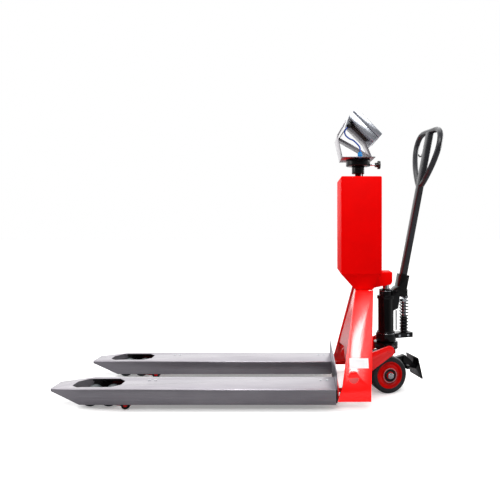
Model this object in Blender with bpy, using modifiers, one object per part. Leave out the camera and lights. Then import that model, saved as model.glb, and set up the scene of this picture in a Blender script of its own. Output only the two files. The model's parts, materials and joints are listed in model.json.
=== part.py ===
"""Hand pallet truck with a built-in weighing scale.

Lengths are in metres and +Z is up. X runs from the fork tips to the tiller and is measured here from the
heel of the forks; the empty "truck" then moves everything so that the origin lies under the middle.
"""
import math

import bmesh
import bpy
from mathutils import Matrix, Vector

# ---------------------------------------------------------------- driving dimensions
gap = 0.0003                 # between pieces that touch
running = 0.0006             # radial play of pins and shafts

fork_length = 1.150
fork_width = 0.165
overall_width = 0.568
deck_height = 0.088
skirt_bottom = 0.026
nose_length = 0.1335
tip_width = 0.088
tip_top = 0.080
tip_bottom = 0.068
cover_sheet = 0.003
window_length = 0.197        # hole in the cover over the tandem rollers
window_width = 0.109
window_chamfer = 0.030
window_front = 0.0815        # from the tip to the hole

back_plate_top = 0.155
back_plate_sheet = 0.004

beam_sheet = 0.004
beam_side_gap = 0.006        # the deck floats round the beam by this much
beam_bottom = 0.030
beam_drop = 0.0035           # beam top below the cover's underside
beam_end = 0.0057            # behind the back plate

cell_y = 0.033                      # load cell beside the push rod, from the fork's middle
cell_length = 0.110
cell_stud_x = (-0.7615, -0.0455)
cell_size = (0.026, 0.021)          # width, height

lift_travel = 0.115
steer_x = 0.2405
steer_rest = math.radians(16)
wheel_radius = 0.0806
tyre_width = 0.050
wheel_gap = 0.055            # between the two wheels' inner faces
axle_trail = -0.016           # axle from the steering axis
axle_radius = 0.010
rim_radius = 0.0585
hub_radius = 0.033

rocker_shaft = (0.0705, 0.130)      # x, z of the rocker's shaft in the frame
lift_pin = (0.2363, 0.198)          # x, z of the pins in the thrust plate
rocker_shaft_radius = 0.0125
rocker_arm_inner = 0.117
rocker_arm_sheet = 0.012
lift_pin_radius = 0.009
bell_radius = 0.0644                # shaft to push rod pin

roller_radius = 0.037
roller_width = 0.064
roller_spacing = 0.076
bogie_x = -0.9585
link_pivot = (-0.8365, 0.024)
link_crank = 0.040                  # link pivot to push rod pin
link_swing = math.radians(62.3)
link_pin_radius = 0.009
rod_pin_radius = 0.0055

frame_sheet = 0.005
frame_flange = 0.022
frame_levels = (                    # z, x front, x rear, outer half width
    (0.038, 0.006, 0.1385, overall_width / 2),
    (0.094, 0.0255, 0.1385, overall_width / 2),
    (0.450, 0.095, 0.1735, 0.080),
)
frame_notch_eaves = 0.155
frame_notch_top = 0.190
frame_notch_half_width = overall_width / 2 - 0.056

column_front = 0.0290
column_rear = 0.2025
column_half_width = 0.141
column_bottom = 0.5285
column_top = 0.944
column_sheet = 0.002
funnel_bottom = 0.456
funnel_sheet = 0.006
head_rear = 0.2615
head_half_width = 0.050
head_slope = ((0.2125, 0.465), (0.2555, 0.473))   # underside over the ram, x, z

mast_x = 0.115
stub_radius = 0.0285
stub_bottom = 0.966
swivel_bottom = 1.0005
swivel_height = 0.0285
swivel_radius = 0.055
knob_radius = 0.020
knob_height = 0.0045         # knob axis above the swivel foot's underside

bracket_sheet = 0.003
bracket_half_width = 0.095
cradle_half_width = 0.055
indicator_tilt = math.radians(45)
indicator_face = (0.0365, 1.1825)   # x from the mast axis, z, of the face's middle
indicator_length = 0.158
indicator_width = 0.245
indicator_depth = 0.052
bezel_depth = 0.022
cable_radius = 0.0033

gland_y = 0.075
key_count = 4
key_pitch = 0.042
key_radius = 0.0095
key_along = 0.040
gland_along = -0.050

ram_radius = 0.0145
cylinder_radius = 0.035
cylinder_bottom = 0.250
cylinder_top = 0.4475
cap_bottom = 0.421
tiller_x = 0.039             # tiller bolt from the steering axis
tiller_z = 0.431
tiller_lean = math.radians(11.8)
shaft_offset = 0.030         # shaft axis from the tiller bolt
shaft_width = 0.028
shaft_depth = 0.030
loop_top = 0.760
loop_radius = 0.013
cam_reach = 0.0557
cam_angle = math.radians(-9.2)
cam_radius = 0.011

plunger_x = 0.090
plunger_cap_radius = 0.0205
plunger_rod_radius = 0.010
plunger_top = 0.3995
spring_radius = 0.0195
spring_wire = 0.003
spring_turns = 9.5
guide_top = 0.318
pedal_pivot = (0.0880, 0.1350)      # x, z from the steering axis

# ---------------------------------------------------------------- derived places
fork_y = (overall_width - fork_width) / 2
cover_under = deck_height - cover_sheet
beam_top = cover_under - beam_drop
beam_half = fork_width / 2 - cover_sheet - beam_side_gap
rocker_rest = math.atan2(lift_pin[1] - rocker_shaft[1], lift_pin[0] - rocker_shaft[0])
rocker_reach = math.hypot(lift_pin[0] - rocker_shaft[0], lift_pin[1] - rocker_shaft[1])
rocker_swing = rocker_rest - math.asin((lift_pin[1] - rocker_shaft[1] - lift_travel) / rocker_reach)
rod_pin = (link_pivot[0] + link_crank * math.sin(link_swing / 2),
           link_pivot[1] + link_crank * math.cos(link_swing / 2))
bell_pin = (rocker_shaft[0] + bell_radius * math.sin(rocker_swing / 2),
            rocker_shaft[1] - bell_radius * math.cos(rocker_swing / 2))
side_slope = ((frame_levels[1][3] - frame_levels[2][3])
              / (frame_levels[2][0] - frame_levels[1][0]))


# ---------------------------------------------------------------- helpers
def new_collection(name):
    group = bpy.data.collections.new(name)
    bpy.context.scene.collection.children.link(group)
    return group


def new_material(name, colour, roughness, metallic=0.0):
    mat = bpy.data.materials.new(name)
    mat.use_nodes = True
    shader = mat.node_tree.nodes["Principled BSDF"]
    shader.inputs["Base Color"].default_value = (*colour, 1)
    shader.inputs["Roughness"].default_value = roughness
    shader.inputs["Metallic"].default_value = metallic
    mat.diffuse_color = (*colour, 1)
    return mat


def new_empty(name, parent=None, place=(0, 0, 0), turn=(0, 0, 0)):
    marker = bpy.data.objects.new(name, None)
    marker.empty_display_size = 0.05
    marker.location = place
    marker.rotation_euler = turn
    marker.parent = parent
    parts.objects.link(marker)
    return marker


def new_piece(name, mesh, parent, mat=None, place=(0, 0, 0), turn=(0, 0, 0), smooth=None):
    """Put a mesh in the scene; one without a material is a tool for a Boolean."""
    piece = bpy.data.objects.new(name, mesh)
    piece.location = place
    piece.rotation_euler = turn
    piece.parent = parent
    if mat is None:
        tools.objects.link(piece)
        piece.hide_render = True
        piece.display_type = "WIRE"
    else:
        parts.objects.link(piece)
        mesh.materials.clear()
        mesh.materials.append(mat)
    if smooth:
        mesh.shade_smooth()
        mesh.set_sharp_from_angle(angle=math.radians(smooth))
    return piece


def mesh_from(bm, name):
    mesh = bpy.data.meshes.new(name)
    bm.to_mesh(mesh)
    bm.free()
    return mesh


def box_mesh(name, low, high):
    bm = bmesh.new()
    bmesh.ops.create_cube(bm, size=1)
    size = [b - a for a, b in zip(low, high)]
    bmesh.ops.scale(bm, vec=size, verts=bm.verts)
    bmesh.ops.translate(bm, vec=[(a + b) / 2 for a, b in zip(low, high)], verts=bm.verts)
    return mesh_from(bm, name)


def bar_mesh(name, radius, start, end, segments=20):
    """A round bar between two points."""
    start, end = Vector(start), Vector(end)
    bm = bmesh.new()
    bmesh.ops.create_cone(bm, cap_ends=True, segments=segments, radius1=radius, radius2=radius,
                          depth=(end - start).length)
    turn = Vector((0, 0, 1)).rotation_difference(end - start).to_matrix().to_4x4()
    bmesh.ops.transform(bm, matrix=Matrix.Translation((start + end) / 2) @ turn, verts=bm.verts)
    return mesh_from(bm, name)


def curve_to_mesh(curve, name):
    """Turn a curve into a mesh with its caps welded on."""
    holder = bpy.data.objects.new(name, curve)
    bpy.context.scene.collection.objects.link(holder)
    graph = bpy.context.evaluated_depsgraph_get()
    mesh = bpy.data.meshes.new_from_object(holder.evaluated_get(graph))
    bm = bmesh.new()
    bm.from_mesh(mesh)
    bmesh.ops.remove_doubles(bm, verts=bm.verts, dist=0.00001)
    bm.to_mesh(mesh)
    bm.free()
    bpy.data.objects.remove(holder)
    return mesh


def plate_mesh(name, outline, low, high):
    """A flat outline given as x, z points, standing from y = low to y = high."""
    curve = bpy.data.curves.new(name, "CURVE")
    curve.dimensions = "2D"
    curve.fill_mode = "BOTH"
    curve.extrude = (high - low) / 2
    spline = curve.splines.new("POLY")
    spline.points.add(len(outline) - 1)
    for point, (x, z) in zip(spline.points, outline):
        point.co = (x, z, 0, 1)
    spline.use_cyclic_u = True
    mesh = curve_to_mesh(curve, name)
    upright = Matrix.Translation((0, (low + high) / 2, 0)) @ Matrix.Rotation(math.pi / 2, 4, "X")
    mesh.transform(upright)
    return mesh


def hull_outline(circles, steps=16):
    """The outline drawn tightly round some circles, each given as x, z, radius."""
    points = sorted((x + r * math.cos(2 * math.pi * k / steps), z + r * math.sin(2 * math.pi * k / steps))
                    for x, z, r in circles for k in range(steps))

    def half(ordered):
        chain = []
        for p in ordered:
            while len(chain) > 1:
                (ax, az), (bx, bz) = chain[-2], chain[-1]
                if (bx - ax) * (p[1] - az) - (bz - az) * (p[0] - ax) > 1e-12:
                    break
                chain.pop()
            chain.append(p)
        return chain[:-1]

    return half(points) + half(points[::-1])


def tube_mesh(name, points, radius, cyclic=False, resolution=3):
    """A round wire or tube along points that lie close together on a smooth curve."""
    curve = bpy.data.curves.new(name, "CURVE")
    curve.dimensions = "3D"
    curve.bevel_depth = radius
    curve.bevel_resolution = resolution
    curve.use_fill_caps = not cyclic
    spline = curve.splines.new("POLY")
    spline.points.add(len(points) - 1)
    for point, place in zip(spline.points, points):
        point.co = (*place, 1)
    spline.use_cyclic_u = cyclic
    return curve_to_mesh(curve, name)


def smooth_points(knots, spacing, cyclic=False):
    """Points along a Catmull-Rom curve through the knots, about one spacing apart."""
    knots = [Vector(k) for k in knots]
    count = len(knots)
    spans = count if cyclic else count - 1
    points = []
    for i in range(spans):
        if cyclic:
            p0, p1, p2, p3 = (knots[(i + k - 1) % count] for k in range(4))
        else:
            p0, p1, p2, p3 = (knots[min(max(i + k - 1, 0), count - 1)] for k in range(4))
        steps = max(1, round((p2 - p1).length / spacing))
        for s in range(steps):
            t = s / steps
            points.append(0.5 * (2 * p1 + (p2 - p0) * t + (2 * p0 - 5 * p1 + 4 * p2 - p3) * t ** 2
                                 + (3 * p1 - p0 - 3 * p2 + p3) * t ** 3))
    if not cyclic:
        points.append(knots[-1])
    return points


def turned(name, profile, parent, mat, place=(0, 0, 0), turn=(0, 0, 0), steps=32, closed=False):
    """Turn a profile of radius, height points about Z; it runs down the outer side."""
    bm = bmesh.new()
    verts = [bm.verts.new((r, 0, h)) for r, h in profile]
    for a, b in zip(verts, verts[1:]):
        bm.edges.new((a, b))
    if closed:
        bm.edges.new((verts[-1], verts[0]))
    piece = new_piece(name, mesh_from(bm, name), parent, mat, place, turn)
    screw = piece.modifiers.new("turn", "SCREW")
    screw.axis = "Z"
    screw.angle = 2 * math.pi
    screw.steps = steps
    screw.render_steps = steps
    screw.use_merge_vertices = True
    screw.merge_threshold = 0.00005
    screw.use_smooth_shade = False
    return piece


def boolean(piece, tool, operation):
    step = piece.modifiers.new(operation.lower(), "BOOLEAN")
    step.operation = operation
    step.solver = "EXACT"
    step.object = tool


def cut(piece, tool):
    boolean(piece, tool, "DIFFERENCE")


def add(piece, tool):
    boolean(piece, tool, "UNION")


def bevel(piece, width, segments=2, angle=40):
    step = piece.modifiers.new("round", "BEVEL")
    step.width = width
    step.segments = segments
    step.limit_method = "ANGLE"
    step.angle_limit = math.radians(angle)


def thicken(piece, sheet):
    step = piece.modifiers.new("sheet", "SOLIDIFY")
    step.thickness = sheet
    step.offset = -1
    step.use_even_offset = True


def side_name(side):
    return "near" if side < 0 else "far"


# ---------------------------------------------------------------- forks
def fork_cover(side):
    """Stainless cover: a long inverted channel whose nose narrows and rises to the tip."""
    half = fork_width / 2
    corner = -fork_length + nose_length
    bm = bmesh.new()
    bmesh.ops.create_cube(bm, size=1)
    bmesh.ops.scale(bm, vec=(fork_length, fork_width, deck_height - skirt_bottom), verts=bm.verts)
    middle = (-fork_length / 2 - gap / 2, 0, (deck_height + skirt_bottom) / 2)
    bmesh.ops.translate(bm, vec=middle, verts=bm.verts)
    bmesh.ops.bisect_plane(bm, geom=bm.verts[:] + bm.edges[:] + bm.faces[:], plane_co=(corner, 0, 0),
                           plane_no=(1, 0, 0))
    for vert in bm.verts:
        if vert.co.x < corner - 0.01:
            vert.co.y *= tip_width / 2 / half
            vert.co.z = tip_top if vert.co.z > (deck_height + skirt_bottom) / 2 else tip_bottom
    bm.normal_update()
    open_faces = [f for f in bm.faces if f.normal.z < -0.3 or f.normal.x > 0.9]
    bmesh.ops.delete(bm, geom=open_faces, context="FACES")
    name = "fork_cover_" + side_name(side)
    cover = new_piece(name, mesh_from(bm, name), truck, steel, (0, side * fork_y, 0))
    bevel(cover, 0.005, 3)
    thicken(cover, cover_sheet)
    front = -fork_length + window_front
    rear = front + window_length
    across = window_width / 2
    corners = [(front, -across + window_chamfer), (front + window_chamfer, -across),
               (rear - window_chamfer, -across), (rear, -across + window_chamfer)]
    outline = corners + [(x, -y) for x, y in reversed(corners)]
    hole = plate_mesh(name + "_window", outline, -0.02, 0.02)
    hole.transform(Matrix.Rotation(-math.pi / 2, 4, "X"))
    cut(cover, new_piece(name + "_window", hole, truck, None, (0, side * fork_y, deck_height)))
    return cover


def back_plate():
    """Upright stainless plate at the heel, cut away round the two inner beams."""
    low = (gap, -overall_width / 2, beam_bottom)
    high = (back_plate_sheet, overall_width / 2, back_plate_top)
    plate = new_piece("back_plate", box_mesh("back_plate", low, high), truck, steel)
    for side in (-1, 1):
        room = box_mesh("beam_room", (-0.01, side * fork_y - fork_width / 2 - 0.01, 0.01),
                        (0.02, side * fork_y + fork_width / 2 - 0.0035, cover_under - 0.001))
        if side > 0:
            room.transform(Matrix.Translation((0, 0.0135, 0)))
        cut(plate, new_piece("beam_room_" + side_name(side), room, truck))


def fork_beam(side):
    """Red channel inside the cover, open below, with an eye for the roller link's pivot."""
    rear = beam_end
    front = -fork_length + nose_length - 0.004
    bm = bmesh.new()
    bmesh.ops.create_cube(bm, size=1)
    bmesh.ops.scale(bm, vec=(rear - front, 2 * beam_half, beam_top - beam_bottom), verts=bm.verts)
    bmesh.ops.translate(bm, vec=((rear + front) / 2, 0, (beam_top + beam_bottom) / 2), verts=bm.verts)
    bm.normal_update()
    open_faces = [f for f in bm.faces if f.normal.z < -0.9 or abs(f.normal.x) > 0.9]
    bmesh.ops.delete(bm, geom=open_faces, context="FACES")
    name = "fork_beam_" + side_name(side)
    place = (0, side * fork_y, 0)
    beam = new_piece(name, mesh_from(bm, name), truck, red, place)
    thicken(beam, beam_sheet)
    opening = box_mesh("roller_room", (front - 0.01, -0.058, beam_top - 0.010),
                       (link_pivot[0] - 0.030, 0.058, beam_top + 0.010))
    cut(beam, new_piece("roller_room_" + side_name(side), opening, truck, None, place))
    for cheek in (-1, 1):
        ends = sorted((cheek * (beam_half - beam_sheet + 0.0004), cheek * (beam_half - 0.0004)))
        eye = plate_mesh("eye", hull_outline([(*link_pivot, 0.019), (link_pivot[0], 0.045, 0.014)], 24), *ends)
        add(beam, new_piece(name + "_eye", eye, truck, None, place))
    bore = bar_mesh("pivot_bore", link_pin_radius + running, (link_pivot[0], -0.1, link_pivot[1]),
                    (link_pivot[0], 0.1, link_pivot[1]), 28)
    cut(beam, new_piece(name + "_bore", bore, truck, None, place))
    for x in cell_stud_x:
        hole = bar_mesh("stud_hole", 0.009, (x, cell_y, beam_top - 0.02), (x, cell_y, beam_top + 0.02), 20)
        cut(beam, new_piece(name + "_hole", hole, truck, None, place))


def load_cell(side, index):
    """Bending beam under the web, whose stud carries the deck."""
    stud = cell_stud_x[index]
    away = 1 if index == 0 else -1
    top = beam_top - beam_sheet - gap
    ends = sorted((stud - away * 0.012, stud + away * (cell_length - 0.012)))
    low = (ends[0], cell_y - cell_size[0] / 2, top - cell_size[1])
    high = (ends[1], cell_y + cell_size[0] / 2, top)
    name = "load_cell_%s_%s" % (side_name(side), ("front", "rear")[index])
    place = (0, side * fork_y, 0)
    cell = new_piece(name, box_mesh(name, low, high), truck, aluminium, place)
    post = bar_mesh("stud", 0.0075, (stud, cell_y, top - 0.01), (stud, cell_y, cover_under - gap), 20)
    add(cell, new_piece(name + "_stud", post, truck, None, place))


# ---------------------------------------------------------------- rollers and push rods
def roller_set(side):
    end = side_name(side)
    pivot = new_empty("link_axis_" + end, truck, (link_pivot[0], side * fork_y, link_pivot[1]))
    centre = (bogie_x - link_pivot[0], roller_radius - link_pivot[1])
    crank = (rod_pin[0] - link_pivot[0], rod_pin[1] - link_pivot[1])

    arm = hull_outline([(0, 0, 0.0175), (*centre, 0.0135)])
    name = "roller_link_" + end
    link = new_piece(name, plate_mesh(name, arm, 0.041, 0.049), pivot, red)
    tools_for_link = [
        plate_mesh("arm", arm, -0.049, -0.041),
        bar_mesh("tube", 0.0155, (0, -0.045, 0), (0, 0.045, 0)),
        bar_mesh("pivot", link_pin_radius, (0, -beam_half - 0.0015, 0), (0, beam_half + 0.0015, 0)),
        plate_mesh("lug", hull_outline([(0, 0, 0.0150), (*crank, 0.0095)]), -0.0068, 0.0068),
        bar_mesh("rod_pin", rod_pin_radius, (crank[0], -0.0145, crank[1]), (crank[0], 0.0145, crank[1]), 20),
    ]
    for mesh in tools_for_link:
        add(link, new_piece(name + "_" + mesh.name, mesh, pivot))
    eye = bar_mesh("eye", 0.0085, (centre[0], -0.06, centre[1]), (centre[0], 0.06, centre[1]))
    cut(link, new_piece(name + "_eye", eye, pivot))

    half = roller_spacing / 2
    bogie_axis = new_empty("bogie_axis_" + end, pivot, (centre[0], 0, centre[1]))
    outline = hull_outline([(-half, 0, 0.014), (half, 0, 0.014)])
    name = "bogie_" + end
    bogie = new_piece(name, plate_mesh(name, outline, 0.0335, 0.0385), bogie_axis, red)
    add(bogie, new_piece(name + "_cheek", plate_mesh("cheek", outline, -0.0385, -0.0335), bogie_axis))
    for x in (-half, half):
        axle = bar_mesh("axle", 0.006, (x, -0.037, 0), (x, 0.037, 0), 20)
        add(bogie, new_piece(name + "_axle", axle, bogie_axis))
    for cheek in (-1, 1):
        stub = bar_mesh("stub", 0.0079, (0, cheek * 0.036, 0), (0, cheek * 0.0485, 0), 20)
        add(bogie, new_piece(name + "_stub", stub, bogie_axis))
    for x, where in ((-half, "front"), (half, "rear")):
        profile = [(0.0068, roller_width / 2 - 0.001), (roller_radius - 0.0035, roller_width / 2 - 0.001),
                   (roller_radius, roller_width / 2 - 0.0045), (roller_radius, 0.0045 - roller_width / 2),
                   (roller_radius - 0.0035, 0.001 - roller_width / 2), (0.0068, 0.001 - roller_width / 2)]
        turned("roller_%s_%s" % (end, where), profile, bogie_axis, teal, (x, 0, 0),
               (math.pi / 2, 0, 0), 28, closed=True)
    push_rod(side, pivot, crank)


def push_rod(side, pivot, crank):
    """Bar from the rocker's bell crank to the roller link, with a fork in front and a slot behind."""
    end = side_name(side)
    name = "push_rod_" + end
    eye = new_empty("rod_axis_" + end, pivot, (crank[0], 0, crank[1]))
    length = bell_pin[0] - rod_pin[0]
    rise = bell_pin[1] - rod_pin[1]
    slot_low = rise - bell_radius * (1 - math.cos(rocker_swing / 2)) \
        - link_crank * (1 - math.cos(link_swing / 2))
    slot_mid = (rise + slot_low) / 2
    bar = box_mesh(name, (0.022, -0.006, -0.0075), (length - 0.012, 0.006, 0.0075))
    rod = new_piece(name, bar, eye, red)
    for low in (-0.0135, 0.0085):
        tine = plate_mesh("tine", hull_outline([(0, 0, 0.0095), (0.030, 0, 0.0080)]), low, low + 0.005)
        add(rod, new_piece(name + "_tine", tine, eye))
    yoke = box_mesh("yoke", (0.020, -0.0132, -0.0072), (0.037, 0.0132, 0.0072))
    add(rod, new_piece(name + "_yoke", yoke, eye))
    reach = (rise - slot_low) / 2
    head = hull_outline([(length, slot_mid + reach, 0.0105), (length, slot_mid - reach, 0.0105),
                         (length - 0.022, 0, 0.0068)])
    add(rod, new_piece(name + "_head", plate_mesh("head", head, -0.0066, 0.0066), eye))
    play = rod_pin_radius + running
    bore = bar_mesh("bore", play, (0, -0.03, 0), (0, 0.03, 0), 20)
    cut(rod, new_piece(name + "_bore", bore, eye))
    slot = hull_outline([(length, slot_mid + reach, play + 0.0006), (length, slot_mid - reach, play + 0.0006)])
    cut(rod, new_piece(name + "_slot", plate_mesh("slot", slot, -0.03, 0.03), eye))


def rocker():
    """Shaft with two arms up to the thrust plate and two bell cranks down to the push rods."""
    axis = new_empty("rocker_axis", truck, (rocker_shaft[0], 0, rocker_shaft[1]))
    boss = shaft_end()
    shaft = bar_mesh("rocker", rocker_shaft_radius, (0, -boss, 0), (0, boss, 0))
    piece = new_piece("rocker", shaft, axis, red)
    pin = (lift_pin[0] - rocker_shaft[0], lift_pin[1] - rocker_shaft[1])
    elbow = (0.0480, -0.0150)
    bell = (bell_pin[0] - rocker_shaft[0], bell_pin[1] - rocker_shaft[1])
    arm = hull_outline([(0, 0, 0.024), (*elbow, 0.026), (*pin, 0.022)])
    crank = hull_outline([(0, 0, 0.020), (*bell, 0.012)])
    for side in (-1, 1):
        ends = sorted((side * rocker_arm_inner, side * (rocker_arm_inner + rocker_arm_sheet)))
        add(piece, new_piece("rocker_arm", plate_mesh("arm", arm, *ends), axis))
        for low in (-0.0145, 0.0085):
            y = side * fork_y + low
            add(piece, new_piece("bell_crank", plate_mesh("crank", crank, y, y + 0.006), axis))
        y = side * fork_y
        stub = bar_mesh("bell_pin", rod_pin_radius, (bell[0], y - 0.012, bell[1]), (bell[0], y + 0.012, bell[1]), 20)
        add(piece, new_piece("bell_pin", stub, axis))
        outer = rocker_arm_inner + rocker_arm_sheet + 0.003
        body = bar_mesh("lift_pin", lift_pin_radius, (pin[0], side * 0.088, pin[1]),
                        (pin[0], side * outer, pin[1]))
        add(piece, new_piece("lift_pin", body, axis))


# ---------------------------------------------------------------- frame and column
def half_width_at(z):
    """Outer half width of the frame at a height above the skirt."""
    return frame_levels[1][3] - side_slope * (z - frame_levels[1][0])


def shaft_end():
    return half_width_at(rocker_shaft[1]) - 0.008


def frame_side(side):
    """Side of the frame: upright at the skirt, then leaning in, with a flange down each edge."""
    bm = bmesh.new()
    rows = []
    for z, front, rear, half in frame_levels:
        lip = half - frame_flange
        rows.append([bm.verts.new((x, side * y, z))
                     for x, y in ((front, lip), (front, half), (rear, half), (rear, lip))])
    for below, above in zip(rows, rows[1:]):
        for k in range(3):
            bm.faces.new((below[k], below[k + 1], above[k + 1], above[k]))
    bmesh.ops.recalc_face_normals(bm, faces=bm.faces)
    middle = max(bm.faces, key=lambda f: f.calc_area())
    if middle.normal.y * side < 0:
        bmesh.ops.reverse_faces(bm, faces=bm.faces)
    name = "frame_side_" + side_name(side)
    piece = new_piece(name, mesh_from(bm, name), truck, red)
    thicken(piece, frame_sheet)
    x, z = rocker_shaft
    outer = half_width_at(z) + 0.003
    inner = shaft_end() - 0.009
    ring = bar_mesh("boss", 0.021, (x, side * inner, z), (x, side * outer, z))
    add(piece, new_piece(name + "_boss", ring, truck))
    bore = bar_mesh("boss_bore", rocker_shaft_radius + running, (x, side * (inner - 0.01), z),
                    (x, side * (shaft_end() + gap), z))
    cut(piece, new_piece(name + "_bore", bore, truck))


def frame_front():
    """Leaning front plate between the two sides, with a gabled opening over the push rods."""
    base, top = frame_levels[1], frame_levels[2]
    step = frame_sheet + 3 * gap
    foot_z, crown_z = base[0] + 0.002, top[0] - 0.003
    lean = math.atan2(top[1] - base[1], top[0] - base[0])
    length = (crown_z - foot_z) / math.cos(lean)
    inset = frame_sheet * math.hypot(1, side_slope) + 5 * gap
    notch = frame_notch_half_width
    eaves = (frame_notch_eaves - foot_z) / math.cos(lean)
    ridge = (frame_notch_top - foot_z) / math.cos(lean)
    foot = half_width_at(foot_z) - inset
    crown = half_width_at(crown_z) - inset
    outline = [(-foot, 0), (-notch, 0), (-notch, eaves), (0, ridge), (notch, eaves), (notch, 0),
               (foot, 0), (crown, length), (-crown, length)]
    mesh = plate_mesh("frame_front", outline, -frame_sheet, 0)
    mesh.transform(Matrix.Rotation(math.pi / 2, 4, "Z"))
    new_piece("frame_front", mesh, truck, red,
              (base[1] + step / math.cos(lean) + 0.002 * math.tan(lean), 0, foot_z), (0, lean, 0))


def crossbeam():
    """Low crossbeam behind the back plate, with room for the push rods."""
    half = frame_levels[0][3] - frame_flange - 2 * gap
    front = beam_end + gap
    low = (front, -half, beam_bottom + 0.009)
    beam = new_piece("crossbeam", box_mesh("crossbeam", low, (front + 0.006, half, 0.0925)), truck, red)
    for side in (-1, 1):
        room = box_mesh("rod_room", (0, side * fork_y - 0.016, 0.047), (0.03, side * fork_y + 0.016, 0.079))
        cut(beam, new_piece("rod_room_" + side_name(side), room, truck))


def column_funnel():
    """Flared foot of the column, with a well for cables and the block that rests on the ram."""
    z, front, rear, half = frame_levels[2]
    top = column_bottom - gap
    bm = bmesh.new()
    bmesh.ops.create_cube(bm, size=1)
    for vert in bm.verts:
        upper = vert.co.z > 0
        ends = (column_front, column_rear) if upper else (front - 0.0025, rear)
        vert.co.x = ends[1] if vert.co.x > 0 else ends[0]
        vert.co.y = math.copysign(column_half_width if upper else half, vert.co.y)
        vert.co.z = top if upper else funnel_bottom
    funnel = new_piece("column_funnel", mesh_from(bm, "column_funnel"), truck, red)
    sheet = funnel_sheet
    room = box_mesh("funnel_room", (column_front + 0.045, -half + 0.010, funnel_bottom + sheet),
                    (rear - 0.014, half - 0.010, top + 0.01))
    cut(funnel, new_piece("funnel_room", room, truck))
    cap = box_mesh("frame_cap", (front + 0.003, -half + 0.004, z + 0.0012),
                   (rear - 0.003, half - 0.004, funnel_bottom + 0.001))
    add(funnel, new_piece("frame_cap", cap, truck))
    outline = [(rear - 0.010, funnel_bottom + 0.001), (rear, funnel_bottom + 0.001), *head_slope,
               (head_rear, 0.485), (head_rear, top - 0.001), (rear - 0.010, top - 0.001)]
    head = plate_mesh("head", outline, -head_half_width, head_half_width)
    add(funnel, new_piece("ram_head", head, truck))


def ram_top():
    """Height at which the ram meets the block's sloping underside."""
    (x0, z0), (x1, z1) = head_slope
    return z0 + (steer_x - ram_radius - x0) / (x1 - x0) * (z1 - z0) - gap


def column():
    bm = bmesh.new()
    bmesh.ops.create_cube(bm, size=1)
    size = (column_rear - column_front, 2 * column_half_width, column_top - column_bottom)
    bmesh.ops.scale(bm, vec=size, verts=bm.verts)
    middle = ((column_rear + column_front) / 2, 0, (column_top + column_bottom) / 2)
    bmesh.ops.translate(bm, vec=middle, verts=bm.verts)
    bm.normal_update()
    bmesh.ops.delete(bm, geom=[f for f in bm.faces if f.normal.z < -0.9], context="FACES")
    box = new_piece("column_box", mesh_from(bm, "column_box"), truck, red)
    bevel(box, 0.006, 3)
    thicken(box, column_sheet)
    battery = box_mesh("battery_pack", (0.055, -0.080, column_bottom + gap), (0.160, 0.080, 0.640))
    new_piece("battery_pack", battery, truck, black)


# ---------------------------------------------------------------- mast and indicator
def mast():
    top = swivel_bottom - gap
    profile = [(0, top), (stub_radius - 0.001, top), (stub_radius, top - 0.001),
               (stub_radius, stub_bottom + 0.001), (stub_radius - 0.001, stub_bottom), (0, stub_bottom)]
    stub = turned("mast_stub", profile, truck, black, (mast_x, 0, 0))
    for x, radius in ((0, 0.014), (0.0195, 0.003)):
        leg = bar_mesh("leg", radius, (x, 0, column_top + gap), (x, 0, stub_bottom + 0.005), 20)
        add(stub, new_piece("mast_leg", leg, truck, None, (mast_x, 0, 0)))


def swivel():
    axis = new_empty("swivel_axis", truck, (mast_x, 0, swivel_bottom))
    top = swivel_height
    profile = [(0, top), (swivel_radius - 0.0015, top), (swivel_radius, top - 0.0015),
               (swivel_radius, 0.0015), (swivel_radius - 0.0015, 0), (0, 0)]
    foot = turned("swivel_foot", profile, axis, black)
    tap = bar_mesh("knob_tap", 0.0046, (swivel_radius - 0.010, 0, knob_height + 0.002),
                   (swivel_radius + 0.01, 0, knob_height + 0.002), 16)
    cut(foot, new_piece("knob_tap", tap, axis))

    knob_axis = new_empty("knob_axis", axis, (swivel_radius, 0, knob_height + 0.002), (0, math.pi / 2, 0))
    lobes = 6
    ring = [(knob_radius * (1 - 0.14 * (0.5 + 0.5 * math.cos(lobes * a))) * math.cos(a),
             knob_radius * (1 - 0.14 * (0.5 + 0.5 * math.cos(lobes * a))) * math.sin(a))
            for a in (2 * math.pi * k / 36 for k in range(36))]
    star = plate_mesh("clamp_knob", ring, 0.0320, 0.0455)
    star.transform(Matrix.Rotation(math.pi / 2, 4, "X"))
    knob = new_piece("clamp_knob", star, knob_axis, black)
    add(knob, new_piece("knob_neck", bar_mesh("neck", 0.0105, (0, 0, 0.0195), (0, 0, 0.0330), 20), knob_axis))
    add(knob, new_piece("knob_stem", bar_mesh("stem", 0.0040, (0, 0, -0.0085), (0, 0, 0.0250), 16), knob_axis))

    base = top + gap
    sheet = bracket_sheet
    foot_line = [(0.0655, base), (-0.0795, base), (-0.1005, base + 0.0955), (-0.0635, base + 0.1625)]
    bracket = new_piece("bracket_foot", plate_mesh("bracket_foot", sheet_outline(foot_line, sheet),
                                                   -bracket_half_width, bracket_half_width), axis, steel)
    cable_hole = bar_mesh("gland_hole", 0.0088, (0.001, -gland_y, base - 0.01), (0.001, -gland_y, base + 0.01), 20)
    cut(bracket, new_piece("gland_hole", cable_hole, axis))
    cradle(axis, base)
    indicator(axis)
    cable(axis, base)


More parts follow.
